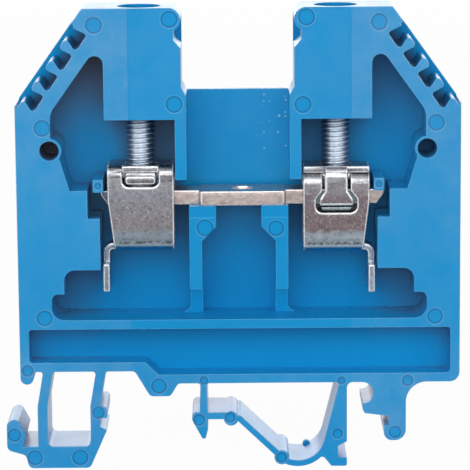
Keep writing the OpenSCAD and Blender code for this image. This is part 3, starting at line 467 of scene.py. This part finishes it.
def shade_tongue_end(work, middle_x):
    """Gives the bevelled end of the tongue its own slot."""
    work.normal_update()
    for face in work.faces:
        middle = face.calc_center_median() / MM
        on_tongue = abs(middle.x - middle_x) < TONGUE_HALF and TONGUE_END_Z[0] < middle.z < TONGUE_END_Z[1]
        if on_tongue and face.normal.z < DOWNWARD_Z:
            face.material_index = INNER


def tongue_lip(work, middle_x, lip_z, outward):
    """Rolled lower lip of a yoke's tongue, inside the window."""
    ends = []
    for sign in (-1.0, 1.0):
        spots = [Vector((middle_x + sign * half, SCREW_Y + outward * out, lip_z + up))
                 for out, up, half in LIP_SECTION]
        ends.append([work.verts.new(spot * MM) for spot in spots])
    faces = skin(work, ends)
    for face in faces:
        face.material_index = INNER
    bmesh.ops.recalc_face_normals(work, faces=faces)


def yoke_piece(name, side, materials):
    """A folded yoke with rounded edges; its tongue has softer ones, its own end tone and a rolled lip."""
    work = solid_copy(f"{side}_clamp_yoke")
    outline = tongue_edges(work, SCREW_X[side])
    if outline:
        round_edges(work, outline, TONGUE_EDGE, TONGUE_SEGMENTS)
    round_outer_edges(work, STRIP_EDGE, STRIP_SEGMENTS)
    shade_tongue_end(work, SCREW_X[side])
    tongue_lip(work, SCREW_X[side], YOKE_Z[side] + LIP_UP, LIP_OUTWARD[side])
    return finished_piece(name, mesh_from(work, name), materials)


# Threaded screws

def thread_radius(turn_share):
    """Radius of the thread at a share of one pitch: a flat crest, straight flanks and a flat root."""
    from_crest = abs(turn_share - 0.5) * 2.0
    down_flank = (from_crest - THREAD_CREST) / THREAD_FLANK
    return THREAD_R - THREAD_DEPTH * min(max(down_flank, 0.0), 1.0)


def add_shank(work):
    """Shank with a helical thread and a chamfered tip."""
    length = HEAD_Z - SCREW_TIP_Z
    rows = int(length / THREAD_PITCH * STEPS_PER_PITCH)
    rings = []
    for k in range(rows + 1):
        up = length * k / rows
        ring = []
        for j, (across, along) in enumerate(circle(SCREW_SEGMENTS)):
            turn_share = (up / THREAD_PITCH - j / SCREW_SEGMENTS) % 1.0
            radius = min(thread_radius(turn_share), THREAD_R - TIP_CHAMFER + up)
            ring.append(work.verts.new((radius * across, radius * along, SCREW_TIP_Z + up)))
        rings.append(ring)
    skin(work, rings)


def prism(work, outline, levels):
    """Stack of scaled outlines; each level is a height and an inset towards the axis."""
    rings = []
    for z, inset in levels:
        share = (HEAD_R - inset) / HEAD_R
        rings.append([work.verts.new((x * share, y * share, z)) for x, y in outline])
    skin(work, rings)


def add_head(work):
    """Round head with a bevelled rim: a disc below and two half moons beside the driver slot."""
    slot_floor = HEAD_TOP_Z - SLOT_H
    disc = [(HEAD_R * across, HEAD_R * along) for across, along in circle(SCREW_SEGMENTS)]
    prism(work, disc, [(HEAD_Z, 0.0), (slot_floor, 0.0)])
    start = math.asin(SLOT_W / 2 / HEAD_R)
    steps = SCREW_SEGMENTS // 2
    angles = [start + (math.pi - 2 * start) * j / steps for j in range(steps + 1)]
    for sign in (1.0, -1.0):
        moon = [(HEAD_R * math.cos(angle), sign * HEAD_R * math.sin(angle)) for angle in angles]
        if sign < 0:
            moon.reverse()
        prism(work, moon, [(slot_floor, 0.0), (HEAD_TOP_Z - HEAD_RIM, 0.0), (HEAD_TOP_Z, HEAD_RIM)])


def screw_piece(name, side, materials):
    """A clamp screw, made about its own axis and set in its tower."""
    work = bmesh.new()
    add_shank(work)
    add_head(work)
    bmesh.ops.recalc_face_normals(work, faces=work.faces)
    mesh = mesh_from(work, name)
    mesh.transform(Matrix.Scale(MM, 4))
    soften(mesh, THREAD_CREASE_ANGLE)
    piece = make_mesh_object(name, mesh, materials)
    piece.location = Vector((SCREW_X[side], SCREW_Y, 0.0)) * MM
    return piece


# Shader nodes

def new_material(name):
    """A new material with its node tree and its shader."""
    material = bpy.data.materials.new(name)
    material.use_nodes = True
    return material, material.node_tree, material.node_tree.nodes["Principled BSDF"]


def link(tree, out_socket, in_socket):
    """Joins two sockets."""
    tree.links.new(out_socket, in_socket)


def noise(tree, scale, detail=5.0, roughness=0.55, stretch=(1.0, 1.0, 1.0)):
    """Noise over the part's own metres, optionally stretched along an axis."""
    place = tree.nodes.new("ShaderNodeTexCoord")
    mapping = tree.nodes.new("ShaderNodeMapping")
    mapping.inputs["Scale"].default_value = stretch
    texture = tree.nodes.new("ShaderNodeTexNoise")
    texture.inputs["Scale"].default_value = scale
    texture.inputs["Detail"].default_value = detail
    texture.inputs["Roughness"].default_value = roughness
    link(tree, place.outputs["Object"], mapping.inputs["Vector"])
    link(tree, mapping.outputs["Vector"], texture.inputs["Vector"])
    return texture.outputs["Fac"]


def ramp(tree, factor, stops):
    """Colour ramp with (position, colour) stops."""
    node = tree.nodes.new("ShaderNodeValToRGB")
    while len(node.color_ramp.elements) < len(stops):
        node.color_ramp.elements.new(0.5)
    for element, (position, colour) in zip(node.color_ramp.elements, stops):
        element.position = position
        element.color = (*colour, 1.0)
    link(tree, factor, node.inputs["Fac"])
    return node.outputs["Color"]


def span(tree, value, source, target):
    """Maps one range of values to another and holds the ends."""
    node = tree.nodes.new("ShaderNodeMapRange")
    ends = zip(("From Min", "From Max", "To Min", "To Max"), (*source, *target))
    for socket, end in ends:
        node.inputs[socket].default_value = end
    link(tree, value, node.inputs["Value"])
    return node.outputs["Result"]


def rising(tree, value, start, end, top=1.0):
    """0 up to start, top from end on."""
    return span(tree, value, (start, end), (0.0, top))


def falling(tree, value, start, end, top=1.0):
    """Top up to start, 0 from end on."""
    return span(tree, value, (start, end), (top, 0.0))


def typed_socket(sockets, name, kind):
    """The one socket of a kind, where a node has several of the same name."""
    return next(socket for socket in sockets if socket.name == name and socket.type == kind)


def mixed(tree, factor, first, second):
    """Mix of two colours, each a socket or plain numbers."""
    node = tree.nodes.new("ShaderNodeMix")
    node.data_type = "RGBA"
    for name, value in (("A", first), ("B", second)):
        target = typed_socket(node.inputs, name, "RGBA")
        if isinstance(value, tuple):
            target.default_value = (*value, 1.0)
        else:
            link(tree, value, target)
    link(tree, factor, typed_socket(node.inputs, "Factor", "VALUE"))
    return typed_socket(node.outputs, "Result", "RGBA")


def bump(tree, height, distance_mm, strength=1.0):
    """Normal of a surface raised by a height."""
    node = tree.nodes.new("ShaderNodeBump")
    node.inputs["Distance"].default_value = distance_mm * MM
    node.inputs["Strength"].default_value = strength
    link(tree, height, node.inputs["Height"])
    return node.outputs["Normal"]


def math_node(tree, operation, first, second=0.0):
    """A Math node over sockets or plain numbers."""
    node = tree.nodes.new("ShaderNodeMath")
    node.operation = operation
    for socket, value in zip(node.inputs, (first, second)):
        if isinstance(value, (int, float)):
            socket.default_value = value
        else:
            link(tree, value, socket)
    return node.outputs["Value"]


def product(tree, first, *others):
    """All the factors multiplied."""
    for other in others:
        first = math_node(tree, "MULTIPLY", first, other)
    return first


def distance(tree, value, middle):
    """How far a value lies from a middle, either way."""
    return math_node(tree, "ABSOLUTE", math_node(tree, "SUBTRACT", value, middle))


def place_mm(tree):
    """The piece's own x, y, z in millimetres."""
    place = tree.nodes.new("ShaderNodeTexCoord")
    split = tree.nodes.new("ShaderNodeSeparateXYZ")
    link(tree, place.outputs["Object"], split.inputs["Vector"])
    return [math_node(tree, "DIVIDE", split.outputs[axis], MM) for axis in ("X", "Y", "Z")]


def openness(tree, reach_mm, normal=None):
    """How far a place lies open, from 0 in a closed corner to 1 on a free face."""
    occlusion = tree.nodes.new("ShaderNodeAmbientOcclusion")
    occlusion.samples = 12
    occlusion.inputs["Distance"].default_value = reach_mm * MM
    if normal is not None:
        link(tree, normal, occlusion.inputs["Normal"])
    return occlusion.outputs["AO"]


def raised_normal(tree):
    """The surface's normal, turned half way to the top."""
    geometry = tree.nodes.new("ShaderNodeNewGeometry")
    tilt = tree.nodes.new("ShaderNodeVectorMath")
    tilt.operation = "ADD"
    tilt.inputs[1].default_value = (0.0, 0.0, 1.0)
    link(tree, geometry.outputs["Normal"], tilt.inputs[0])
    unit = tree.nodes.new("ShaderNodeVectorMath")
    unit.operation = "NORMALIZE"
    link(tree, tilt.outputs["Vector"], unit.inputs[0])
    return unit.outputs["Vector"]


# Plastic, with its painted reflection, painted light, painted shade and dust specks; places in millimetres

def painted_front_reflection(tree):
    """Painted reflection: a faint whitish haze on the front plane that stands in for reflected light, most on
    the outer walls and the feet.
    """
    x, y, z = place_mm(tree)
    depth = math_node(tree, "SUBTRACT", y, FRONT_Y)
    weaker_in_marks = span(tree, depth, (0.06, 0.11), (1.0, 0.4))
    front = product(tree, weaker_in_marks, falling(tree, depth, start=0.16, end=0.24))
    step_middle = (TOWER_STEP_X["left"] + TOWER_STEP_X["right"]) / 2
    step_reach = TOWER_STEP_X["right"] - step_middle
    outer = rising(tree, distance(tree, x, step_middle), start=step_reach - 0.03, end=step_reach + 0.04)
    inner = math_node(tree, "SUBTRACT", 1.0, outer)
    walls = product(tree, outer, span(tree, z, (18.0, 42.0), (0.022, 0.062)))
    towers = product(tree, inner, span(tree, z, (28.0, 36.5), (0.006, 0.021)))
    feet = product(tree, falling(tree, z, start=7.0, end=10.0, top=0.026),
                   span(tree, z, (-4.0, 0.0), (0.3, 1.0)))
    level = math_node(tree, "ADD", math_node(tree, "ADD", walls, towers), feet)
    cloud = span(tree, noise(tree, scale=300.0, roughness=0.65), NOISE_RANGE, (0.5, 1.5))
    return product(tree, front, level, cloud)


def painted_corner_shade(tree):
    """Painted shade: dark grey where the moulding is deep and roofed over, most at the left."""
    x, _, z = place_mm(tree)
    beside = distance(tree, x, MIDDLE_X)
    roofed = product(tree, span(tree, z, (16.0, 28.0), (0.2, 0.9)),
                     span(tree, x, (-12.0, 14.0), (1.05, 0.45)))
    ends = product(tree, rising(tree, beside, start=14.0, end=18.0, top=0.65),
                   falling(tree, z, start=19.0, end=24.0))
    shade_level = math_node(tree, "MAXIMUM", roofed, ends)
    open_upwards = openness(tree, reach_mm=12.0, normal=raised_normal(tree))
    return product(tree, shade_level, falling(tree, open_upwards, start=0.06, end=0.3))


def painted_comb_shade(tree):
    """Painted shade between the teeth of the marker combs, measured inwards from the line of their tips."""
    x, y, z = place_mm(tree)
    beside = distance(tree, x, MIDDLE_X)
    across = product(tree, math_node(tree, "SUBTRACT", COMB_TIP[0], beside), COMB_NORMAL[0])
    down = product(tree, math_node(tree, "SUBTRACT", COMB_TIP[1], z), COMB_NORMAL[1])
    inward = math_node(tree, "ADD", across, down)
    gaps = product(tree, rising(tree, inward, start=0.5, end=1.7, top=0.75),
                   falling(tree, inward, start=3.0, end=3.2))
    along = product(tree, rising(tree, beside, start=15.5, end=16.0), rising(tree, z, start=35.0, end=35.5))
    behind = product(tree, rising(tree, y, start=-3.8, end=-2.8), falling(tree, y, start=3.6, end=3.9))
    return product(tree, gaps, along, behind)


def on_recess_floor(tree, y):
    """1 on the floor of the recesses, 0 before and behind it."""
    return product(tree, rising(tree, y, start=2.0, end=2.4), falling(tree, y, start=3.2, end=3.5))


def dust_specks(tree):
    """A few pale grains that lie in the trough, towards its right end."""
    x, y, z = place_mm(tree)
    flat = tree.nodes.new("ShaderNodeCombineXYZ")
    link(tree, x, flat.inputs["X"])
    link(tree, z, flat.inputs["Y"])
    cells = tree.nodes.new("ShaderNodeTexVoronoi")
    cells.voronoi_dimensions = "2D"
    cells.inputs["Scale"].default_value = 1.1
    link(tree, flat.outputs["Vector"], cells.inputs["Vector"])
    pick = tree.nodes.new("ShaderNodeSeparateColor")
    link(tree, cells.outputs["Color"], pick.inputs["Color"])
    chance = pick.outputs["Red"]
    size = span(tree, chance, (0.5, 1.0), (0.04, 0.17))
    past_rim = math_node(tree, "SUBTRACT", cells.outputs["Distance"], size)
    grain = product(tree, falling(tree, past_rim, start=-0.05, end=0.02),
                    rising(tree, chance, start=0.66, end=0.68))
    right_end = product(tree, rising(tree, x, start=1.5, end=4.4), falling(tree, x, start=5.2, end=5.8))
    above_bar = rising(tree, z, start=28.5, end=29.5, top=0.5)
    trough = product(tree, right_end, on_recess_floor(tree, y), above_bar)
    return product(tree, grain, trough)


def painted_trough_light(tree):
    """Painted light: a paler blue on the trough's floor, which lies open to the light from above."""
    x, y, z = place_mm(tree)
    between_towers = falling(tree, distance(tree, x, MIDDLE_X), start=6.4, end=6.8)
    above_bar = rising(tree, z, start=27.5, end=28.5)
    inside = product(tree, between_towers, on_recess_floor(tree, y), above_bar)
    level = product(tree, span(tree, z, (29.0, 39.0), (0.02, 0.035)), span(tree, x, (-6.0, 5.0), (0.7, 1.4)))
    cloud = span(tree, noise(tree, scale=260.0, detail=4.0), NOISE_RANGE, (0.7, 1.3))
    return product(tree, inside, level, cloud)


def plastic(name, tones, roughness, gloss, grained=True):
    """Moulded plastic with slow flow marks, painted reflection, painted light, painted shade and dust specks;
    a polished mould wall leaves no grain.
    """
    material, tree, shader = new_material(name)
    deep, light = tones
    flow = noise(tree, scale=90.0, detail=3.0, stretch=(1.0, 1.0, 0.45))
    tone = ramp(tree, flow, [(0.3, deep), (0.72, light)])
    # painted reflection on the front plane
    tone = mixed(tree, painted_front_reflection(tree), tone, PAINTED_REFLECTION_WHITE)
    # painted light on the trough's floor
    tone = mixed(tree, painted_trough_light(tree), tone, PAINTED_TROUGH_BLUE)
    # painted shade in deep, roofed-over corners
    tone = mixed(tree, painted_corner_shade(tree), tone, PAINTED_CORNER_GREY)
    # painted shade between the comb's teeth
    tone = mixed(tree, painted_comb_shade(tree), tone, PAINTED_COMB_DARK)
    tone = mixed(tree, dust_specks(tree), tone, SPECK)
    link(tree, tone, shader.inputs["Base Color"])
    satin = noise(tree, scale=900.0, detail=4.0) if grained else noise(tree, scale=160.0, detail=1.0)
    link(tree, span(tree, satin, NOISE_RANGE, roughness), shader.inputs["Roughness"])
    if grained:
        grain = bump(tree, noise(tree, scale=5200.0, detail=2.0), distance_mm=0.006, strength=0.6)
        link(tree, grain, shader.inputs["Normal"])
    shader.inputs["Specular IOR Level"].default_value = gloss
    shader.inputs["IOR"].default_value = 1.53
    return material


# Metals

def plate(tree, shader, grain, roughness, bump_mm, stretch=(1.0, 1.0, 1.0), edge_mm=0.0, metal=1.0):
    """Gloss and grain of a plated surface; sheared edges may look rounder than they are."""
    gloss = noise(tree, GLOSS_GRAIN * grain, stretch=stretch)
    link(tree, span(tree, gloss, NOISE_RANGE, roughness), shader.inputs["Roughness"])
    grainy = bump(tree, noise(tree, BUMP_GRAIN * grain, stretch=stretch), bump_mm)
    if edge_mm:
        rounding = tree.nodes.new("ShaderNodeBevel")
        rounding.samples = 6
        rounding.inputs["Radius"].default_value = edge_mm * MM
        link(tree, rounding.outputs["Normal"], grainy.node.inputs["Normal"])
    link(tree, grainy, shader.inputs["Normal"])
    shader.inputs["Metallic"].default_value = metal


def uneven_metal(tree, tones):
    """Metal that varies from a dark to a light tone."""
    dark, light = tones
    return ramp(tree, noise(tree, METAL_GRAIN), [(0.35, dark), (0.65, light)])


def edge_highlight_metal(name, tones, metal):
    """Painted highlight on a cut edge: a pale tone that looks bright from every side."""
    material, tree, shader = new_material(name)
    link(tree, uneven_metal(tree, tones), shader.inputs["Base Color"])
    plate(tree, shader, METAL_GRAIN, roughness=(0.2, 0.32), bump_mm=0.004, metal=metal)
    return material


def strip_tone(tree, height, tones):
    """Zinc that changes up the strip, along uneven lines; its pale bluish low part is a painted reflection
    and its bright bend a painted highlight.
    """
    low, middle, high = tones
    ramp_h = 12.0
    # low stops: painted reflection of the pale floor; last stop: painted highlight on the bend
    stops = [(0.96, low), (2.16, low), (2.76, middle), (6.6, high), (8.88, PAINTED_BEND_HIGHLIGHT)]
    ripple = span(tree, noise(tree, scale=900.0), NOISE_RANGE, (-0.25, 0.25))
    uneven = math_node(tree, "DIVIDE", math_node(tree, "ADD", height, ripple), ramp_h)
    return ramp(tree, uneven, [(up / ramp_h, tone) for up, tone in stops])


def folded_strip(name, middle_x, floor_z, tones):
    """Zinc on a folded strip: warm and dull in the middle, painted brighter at the bends as a painted
    highlight, with a tool line below and a painted blue reflection low on the strip.
    """
    material, tree, shader = new_material(name)
    x, _, z = place_mm(tree)
    height = math_node(tree, "SUBTRACT", z, floor_z)
    tone = strip_tone(tree, height, tones)

    streaky = noise(tree, scale=2400.0, roughness=0.7, stretch=(0.12, 1.0, 1.0))
    streak = product(tree, rising(tree, streaky, start=0.42, end=0.6, top=0.8),
                     rising(tree, height, start=7.6, end=8.6))
    tone = mixed(tree, streak, tone, BEND_STREAK)

    above_fold = (1.9, 3.2)
    pits = rising(tree, noise(tree, scale=4300.0, detail=6.0, roughness=0.75), start=0.38, end=0.64)
    tone = mixed(tree, product(tree, pits, span(tree, height, above_fold, (0.12, 0.4))), tone, ZINC_PIT)
    # pale specks on the strip: painted glints
    glints = rising(tree, noise(tree, scale=5200.0, detail=3.0), start=0.58, end=0.72, top=0.6)
    tone = mixed(tree, product(tree, glints, span(tree, height, above_fold, (0.2, 1.0))), tone, PAINTED_GLINT_ZINC)

    line_height = 1.1
    line = product(tree, falling(tree, distance(tree, height, line_height), start=0.08, end=0.32),
                   rising(tree, noise(tree, METAL_GRAIN), start=0.36, end=0.56, top=0.9))
    tone = mixed(tree, line, tone, TOOL_LINE)

    # painted reflection of the blue plastic low on the strip, near its middle
    reflected_blue = product(tree, falling(tree, height, start=0.4, end=0.75, top=0.9),
                    falling(tree, distance(tree, x, middle_x), start=3.0, end=3.2))
    tone = mixed(tree, reflected_blue, tone, PAINTED_BLUE_REFLECTION)
    link(tree, tone, shader.inputs["Base Color"])
    plate(tree, shader, STRIP_GRAIN, roughness=(0.24, 0.36), bump_mm=0.012, edge_mm=0.34)
    return material


def screw_plating(name):
    """Bright zinc on the thread's crests, with painted shade in its grooves and where the towers close round
    it.
    """
    material, tree, shader = new_material(name)
    x, y, _ = place_mm(tree)
    radius = math_node(tree, "SQRT", math_node(tree, "ADD", product(tree, x, x), product(tree, y, y)))
    root_r = THREAD_R - THREAD_DEPTH
    # painted shade in the thread's grooves
    groove_shade = falling(tree, radius, start=root_r, end=root_r + 0.3 * THREAD_DEPTH, top=0.2)
    tone = mixed(tree, groove_shade, uneven_metal(tree, CREST_ZINC), PAINTED_GROOVE_SHADE)
    # painted shade where the towers close round the screw
    screw_shade = falling(tree, openness(tree, reach_mm=14.0), start=0.2, end=0.55, top=0.75)
    link(tree, mixed(tree, screw_shade, tone, PAINTED_SCREW_SHADE), shader.inputs["Base Color"])
    plate(tree, shader, METAL_GRAIN, roughness=(0.36, 0.46), bump_mm=0.003)
    return material


def bar_plating(name):
    """Tin on the bar, streaked along it, with painted shade on its lower part and its narrow parts, and dark
    painted shade inside the clamps and at the left end.
    """
    material, tree, shader = new_material(name)
    x, _, z = place_mm(tree)
    beside = distance(tree, x, MIDDLE_X)
    streaks = noise(tree, METAL_GRAIN, detail=6.0, roughness=0.75, stretch=ALONG_BAR)
    tone = ramp(tree, streaks, list(zip((0.36, 0.58, 0.7), TIN)))
    # painted shade on the bar's lower part and set-back narrow parts
    lower_part = falling(tree, z, start=BAR_TOP_Z - 0.6, end=BAR_TOP_Z - 0.3, top=0.2)
    narrow_part = rising(tree, beside, start=5.3, end=5.6, top=0.2)
    tone = mixed(tree, math_node(tree, "ADD", lower_part, narrow_part), tone, PAINTED_SHADE_TIN)
    # painted shade on the bar inside the clamps
    in_clamps = product(tree, rising(tree, beside, start=8.4, end=8.9, top=0.9),
                        falling(tree, beside, start=14.4, end=14.9))
    tone = mixed(tree, in_clamps, tone, PAINTED_CLAMP_SHADE)
    # painted shade on the bar's left end beside the yoke
    left_end = falling(tree, x, start=-16.3, end=-16.0, top=0.9)
    link(tree, mixed(tree, left_end, tone, PAINTED_END_SHADE), shader.inputs["Base Color"])
    plate(tree, shader, METAL_GRAIN, roughness=(0.28, 0.42), bump_mm=0.01, stretch=ALONG_BAR, edge_mm=0.2)
    return material


# Camera, stage and light

def photo_camera():
    """Long lens a little above the block, at the place and turn that fit the photo's outline."""
    pitch = math.radians(CAMERA_PITCH)
    yaw = math.radians(CAMERA_YAW)
    roll = math.radians(CAMERA_ROLL)
    forward = Vector((math.sin(yaw) * math.cos(pitch), math.cos(yaw) * math.cos(pitch), -math.sin(pitch)))
    level = Vector((math.cos(yaw), -math.sin(yaw), 0.0))
    upward = level.cross(forward)
    right = math.cos(roll) * level + math.sin(roll) * upward
    up = -math.sin(roll) * level + math.cos(roll) * upward
    camera_data = bpy.data.cameras.new("photo_camera")
    camera_data.sensor_width = CAMERA_SENSOR
    camera_data.lens = CAMERA_LENS
    camera_data.clip_start, camera_data.clip_end = CAMERA_CLIP
    camera = bpy.data.objects.new("photo_camera", camera_data)
    bpy.context.scene.collection.objects.link(camera)
    turn = Matrix((right, up, -forward)).transposed().to_4x4()
    camera.matrix_world = Matrix.Translation(Vector(CAMERA_PLACE) * MM) @ turn
    bpy.context.scene.camera = camera


def seen_directly(tree):
    """1 for camera, glossy and transmission rays, 0 for the light that falls on the part."""
    rays = tree.nodes.new("ShaderNodeLightPath").outputs
    seen = math_node(tree, "MAXIMUM", rays["Is Camera Ray"], rays["Is Glossy Ray"])
    return math_node(tree, "MAXIMUM", seen, rays["Is Transmission Ray"])


def glow(tree, kind, colour, strength):
    """A light-giving shader of a kind."""
    node = tree.nodes.new(kind)
    node.inputs["Color"].default_value = (*colour, 1.0)
    node.inputs["Strength"].default_value = strength
    return node.outputs[0]


def mixed_shader(tree, factor, first, second):
    """Mix of two shaders."""
    node = tree.nodes.new("ShaderNodeMixShader")
    for socket, value in zip(node.inputs, (factor, first, second)):
        link(tree, value, socket)
    return node.outputs["Shader"]


def world_light():
    """White to the eye and in reflections, a plain level as light."""
    world = bpy.data.worlds.new("studio")
    bpy.context.scene.world = world
    world.use_nodes = True
    tree = world.node_tree
    tree.nodes.clear()
    output = tree.nodes.new("ShaderNodeOutputWorld")
    light = glow(tree, "ShaderNodeBackground", DAYLIGHT, DAYLIGHT_STRENGTH)
    white = glow(tree, "ShaderNodeBackground", WHITE, 1.0)
    link(tree, mixed_shader(tree, seen_directly(tree), light, white), output.inputs["Surface"])


def flat_sheet(name, corners, material):
    """A flat sheet of the stage."""
    mesh = bpy.data.meshes.new(name)
    mesh.from_pydata([Vector(corner) * MM for corner in corners], [], [tuple(range(len(corners)))])
    piece = make_mesh_object(name, mesh, (material,))
    return piece


def white_floor():
    """Pale floor that looks white to the eye and still takes the part's shadow."""
    material, tree, shader = new_material("floor_white")
    shader.inputs["Base Color"].default_value = (*FLOOR_GREY, 1.0)
    shader.inputs["Roughness"].default_value = 0.9
    shader.inputs["Specular IOR Level"].default_value = 0.0
    white = glow(tree, "ShaderNodeEmission", WHITE, 1.0)
    share = product(tree, seen_directly(tree), FLOOR_WHITE_SHARE)
    surface = mixed_shader(tree, share, shader.outputs["BSDF"], white)
    link(tree, surface, tree.nodes["Material Output"].inputs["Surface"])
    signs = ((-1, -1), (1, -1), (1, 1), (-1, 1))
    flat_sheet("floor", [(FLOOR_REACH * x, FLOOR_REACH * y, FLOOR_Z) for x, y in signs], material)


def dark_flag():
    """Grey card on the floor before the block that only reflections see, as photographers use for metal."""
    material, tree, _ = new_material("flag_grey")
    grey = glow(tree, "ShaderNodeEmission", WHITE, FLAG_GLOW)
    link(tree, grey, tree.nodes["Material Output"].inputs["Surface"])
    level = FLOOR_Z + FLAG_LIFT
    flag = flat_sheet("flag", [
        (-FLAG_NEAR_HALF, FLAG_NEAR_Y, level), (FLAG_NEAR_HALF, FLAG_NEAR_Y, level),
        (FLAG_FAR_HALF, FLAG_FAR_Y, level), (-FLAG_FAR_HALF, FLAG_FAR_Y, level)], material)
    flag.visible_camera = False
    flag.visible_diffuse = False
    flag.visible_shadow = False
    flag.visible_transmission = False


def softbox(name, place, size, power):
    """Rectangular lamp turned to the block."""
    light = bpy.data.lights.new(name, "AREA")
    light.shape = "RECTANGLE"
    light.size, light.size_y = size[0] * MM, size[1] * MM
    light.energy = power
    lamp = bpy.data.objects.new(name, light)
    bpy.context.scene.collection.objects.link(lamp)
    lamp.location = Vector(place) * MM
    lamp.rotation_euler = (Vector(LAMP_TARGET) * MM - lamp.location).to_track_quat("-Z", "Y").to_euler()


# The block

housing_plastic = plastic("housing_blue", BLUE, roughness=(0.34, 0.44), gloss=0.1)
# paler copy of the blue on rounded edges: painted highlight
housing_painted_highlight = plastic("housing_blue_painted_highlight", PAINTED_HIGHLIGHT_BLUE, roughness=(0.24, 0.34), gloss=0.25)
# darker copy of the blue on the marks' walls: painted shade
mark_painted_shade = plastic("housing_blue_painted_shade", PAINTED_SHADE_BLUE, roughness=(0.4, 0.5), gloss=0.1)
housing_side = plastic("housing_blue_side", BLUE, roughness=(0.26, 0.32), gloss=0.75, grained=False)
# pale tone on the yokes' cut edges: painted highlight
yoke_edge_highlight = edge_highlight_metal("yoke_zinc_painted_edge_highlight", YOKE_EDGE_HIGHLIGHT_ZINC, metal=0.5)
# pale teal on the tongue's end and lip: painted highlight with a painted reflection of the blue plastic
tongue_end_highlight = edge_highlight_metal("yoke_zinc_tongue_end_painted_highlight", TONGUE_END_HIGHLIGHT_TEAL, metal=0.2)
bar_face = bar_plating("bar_tin")
# pale tone on the bar's cut edges: painted highlight
bar_edge_highlight = edge_highlight_metal("bar_tin_painted_edge_highlight", BAR_EDGE_HIGHLIGHT_TIN, metal=0.5)
screw_zinc = screw_plating("screw_zinc")

housing = housing_piece("housing_moulding", (housing_plastic, housing_painted_highlight, mark_painted_shade, housing_side))
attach(housing, "housing")
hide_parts("housing")

bar = bar_piece("current_bar_strip", (bar_face, bar_edge_highlight))
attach(bar, "housing")
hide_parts("current_bar")

for side in SIDES:
    yoke_face = folded_strip(f"{side}_yoke_zinc", SCREW_X[side], YOKE_Z[side], YOKE_TONES[side])
    yoke = yoke_piece(f"{side}_yoke_strip", side, (yoke_face, yoke_edge_highlight, tongue_end_highlight))
    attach(yoke, f"{side}_yoke")
    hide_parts(f"{side}_clamp_yoke")
    screw = screw_piece(f"{side}_threaded_screw", side, (screw_zinc,))
    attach(screw, f"{side}_screw")
    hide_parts(f"{side}_clamp_screw")

photo_camera()
world_light()
white_floor()
dark_flag()
for name, place, size, power in LAMPS:
    softbox(name, place, size, power)

bpy.context.scene.view_settings.view_transform = "Standard"
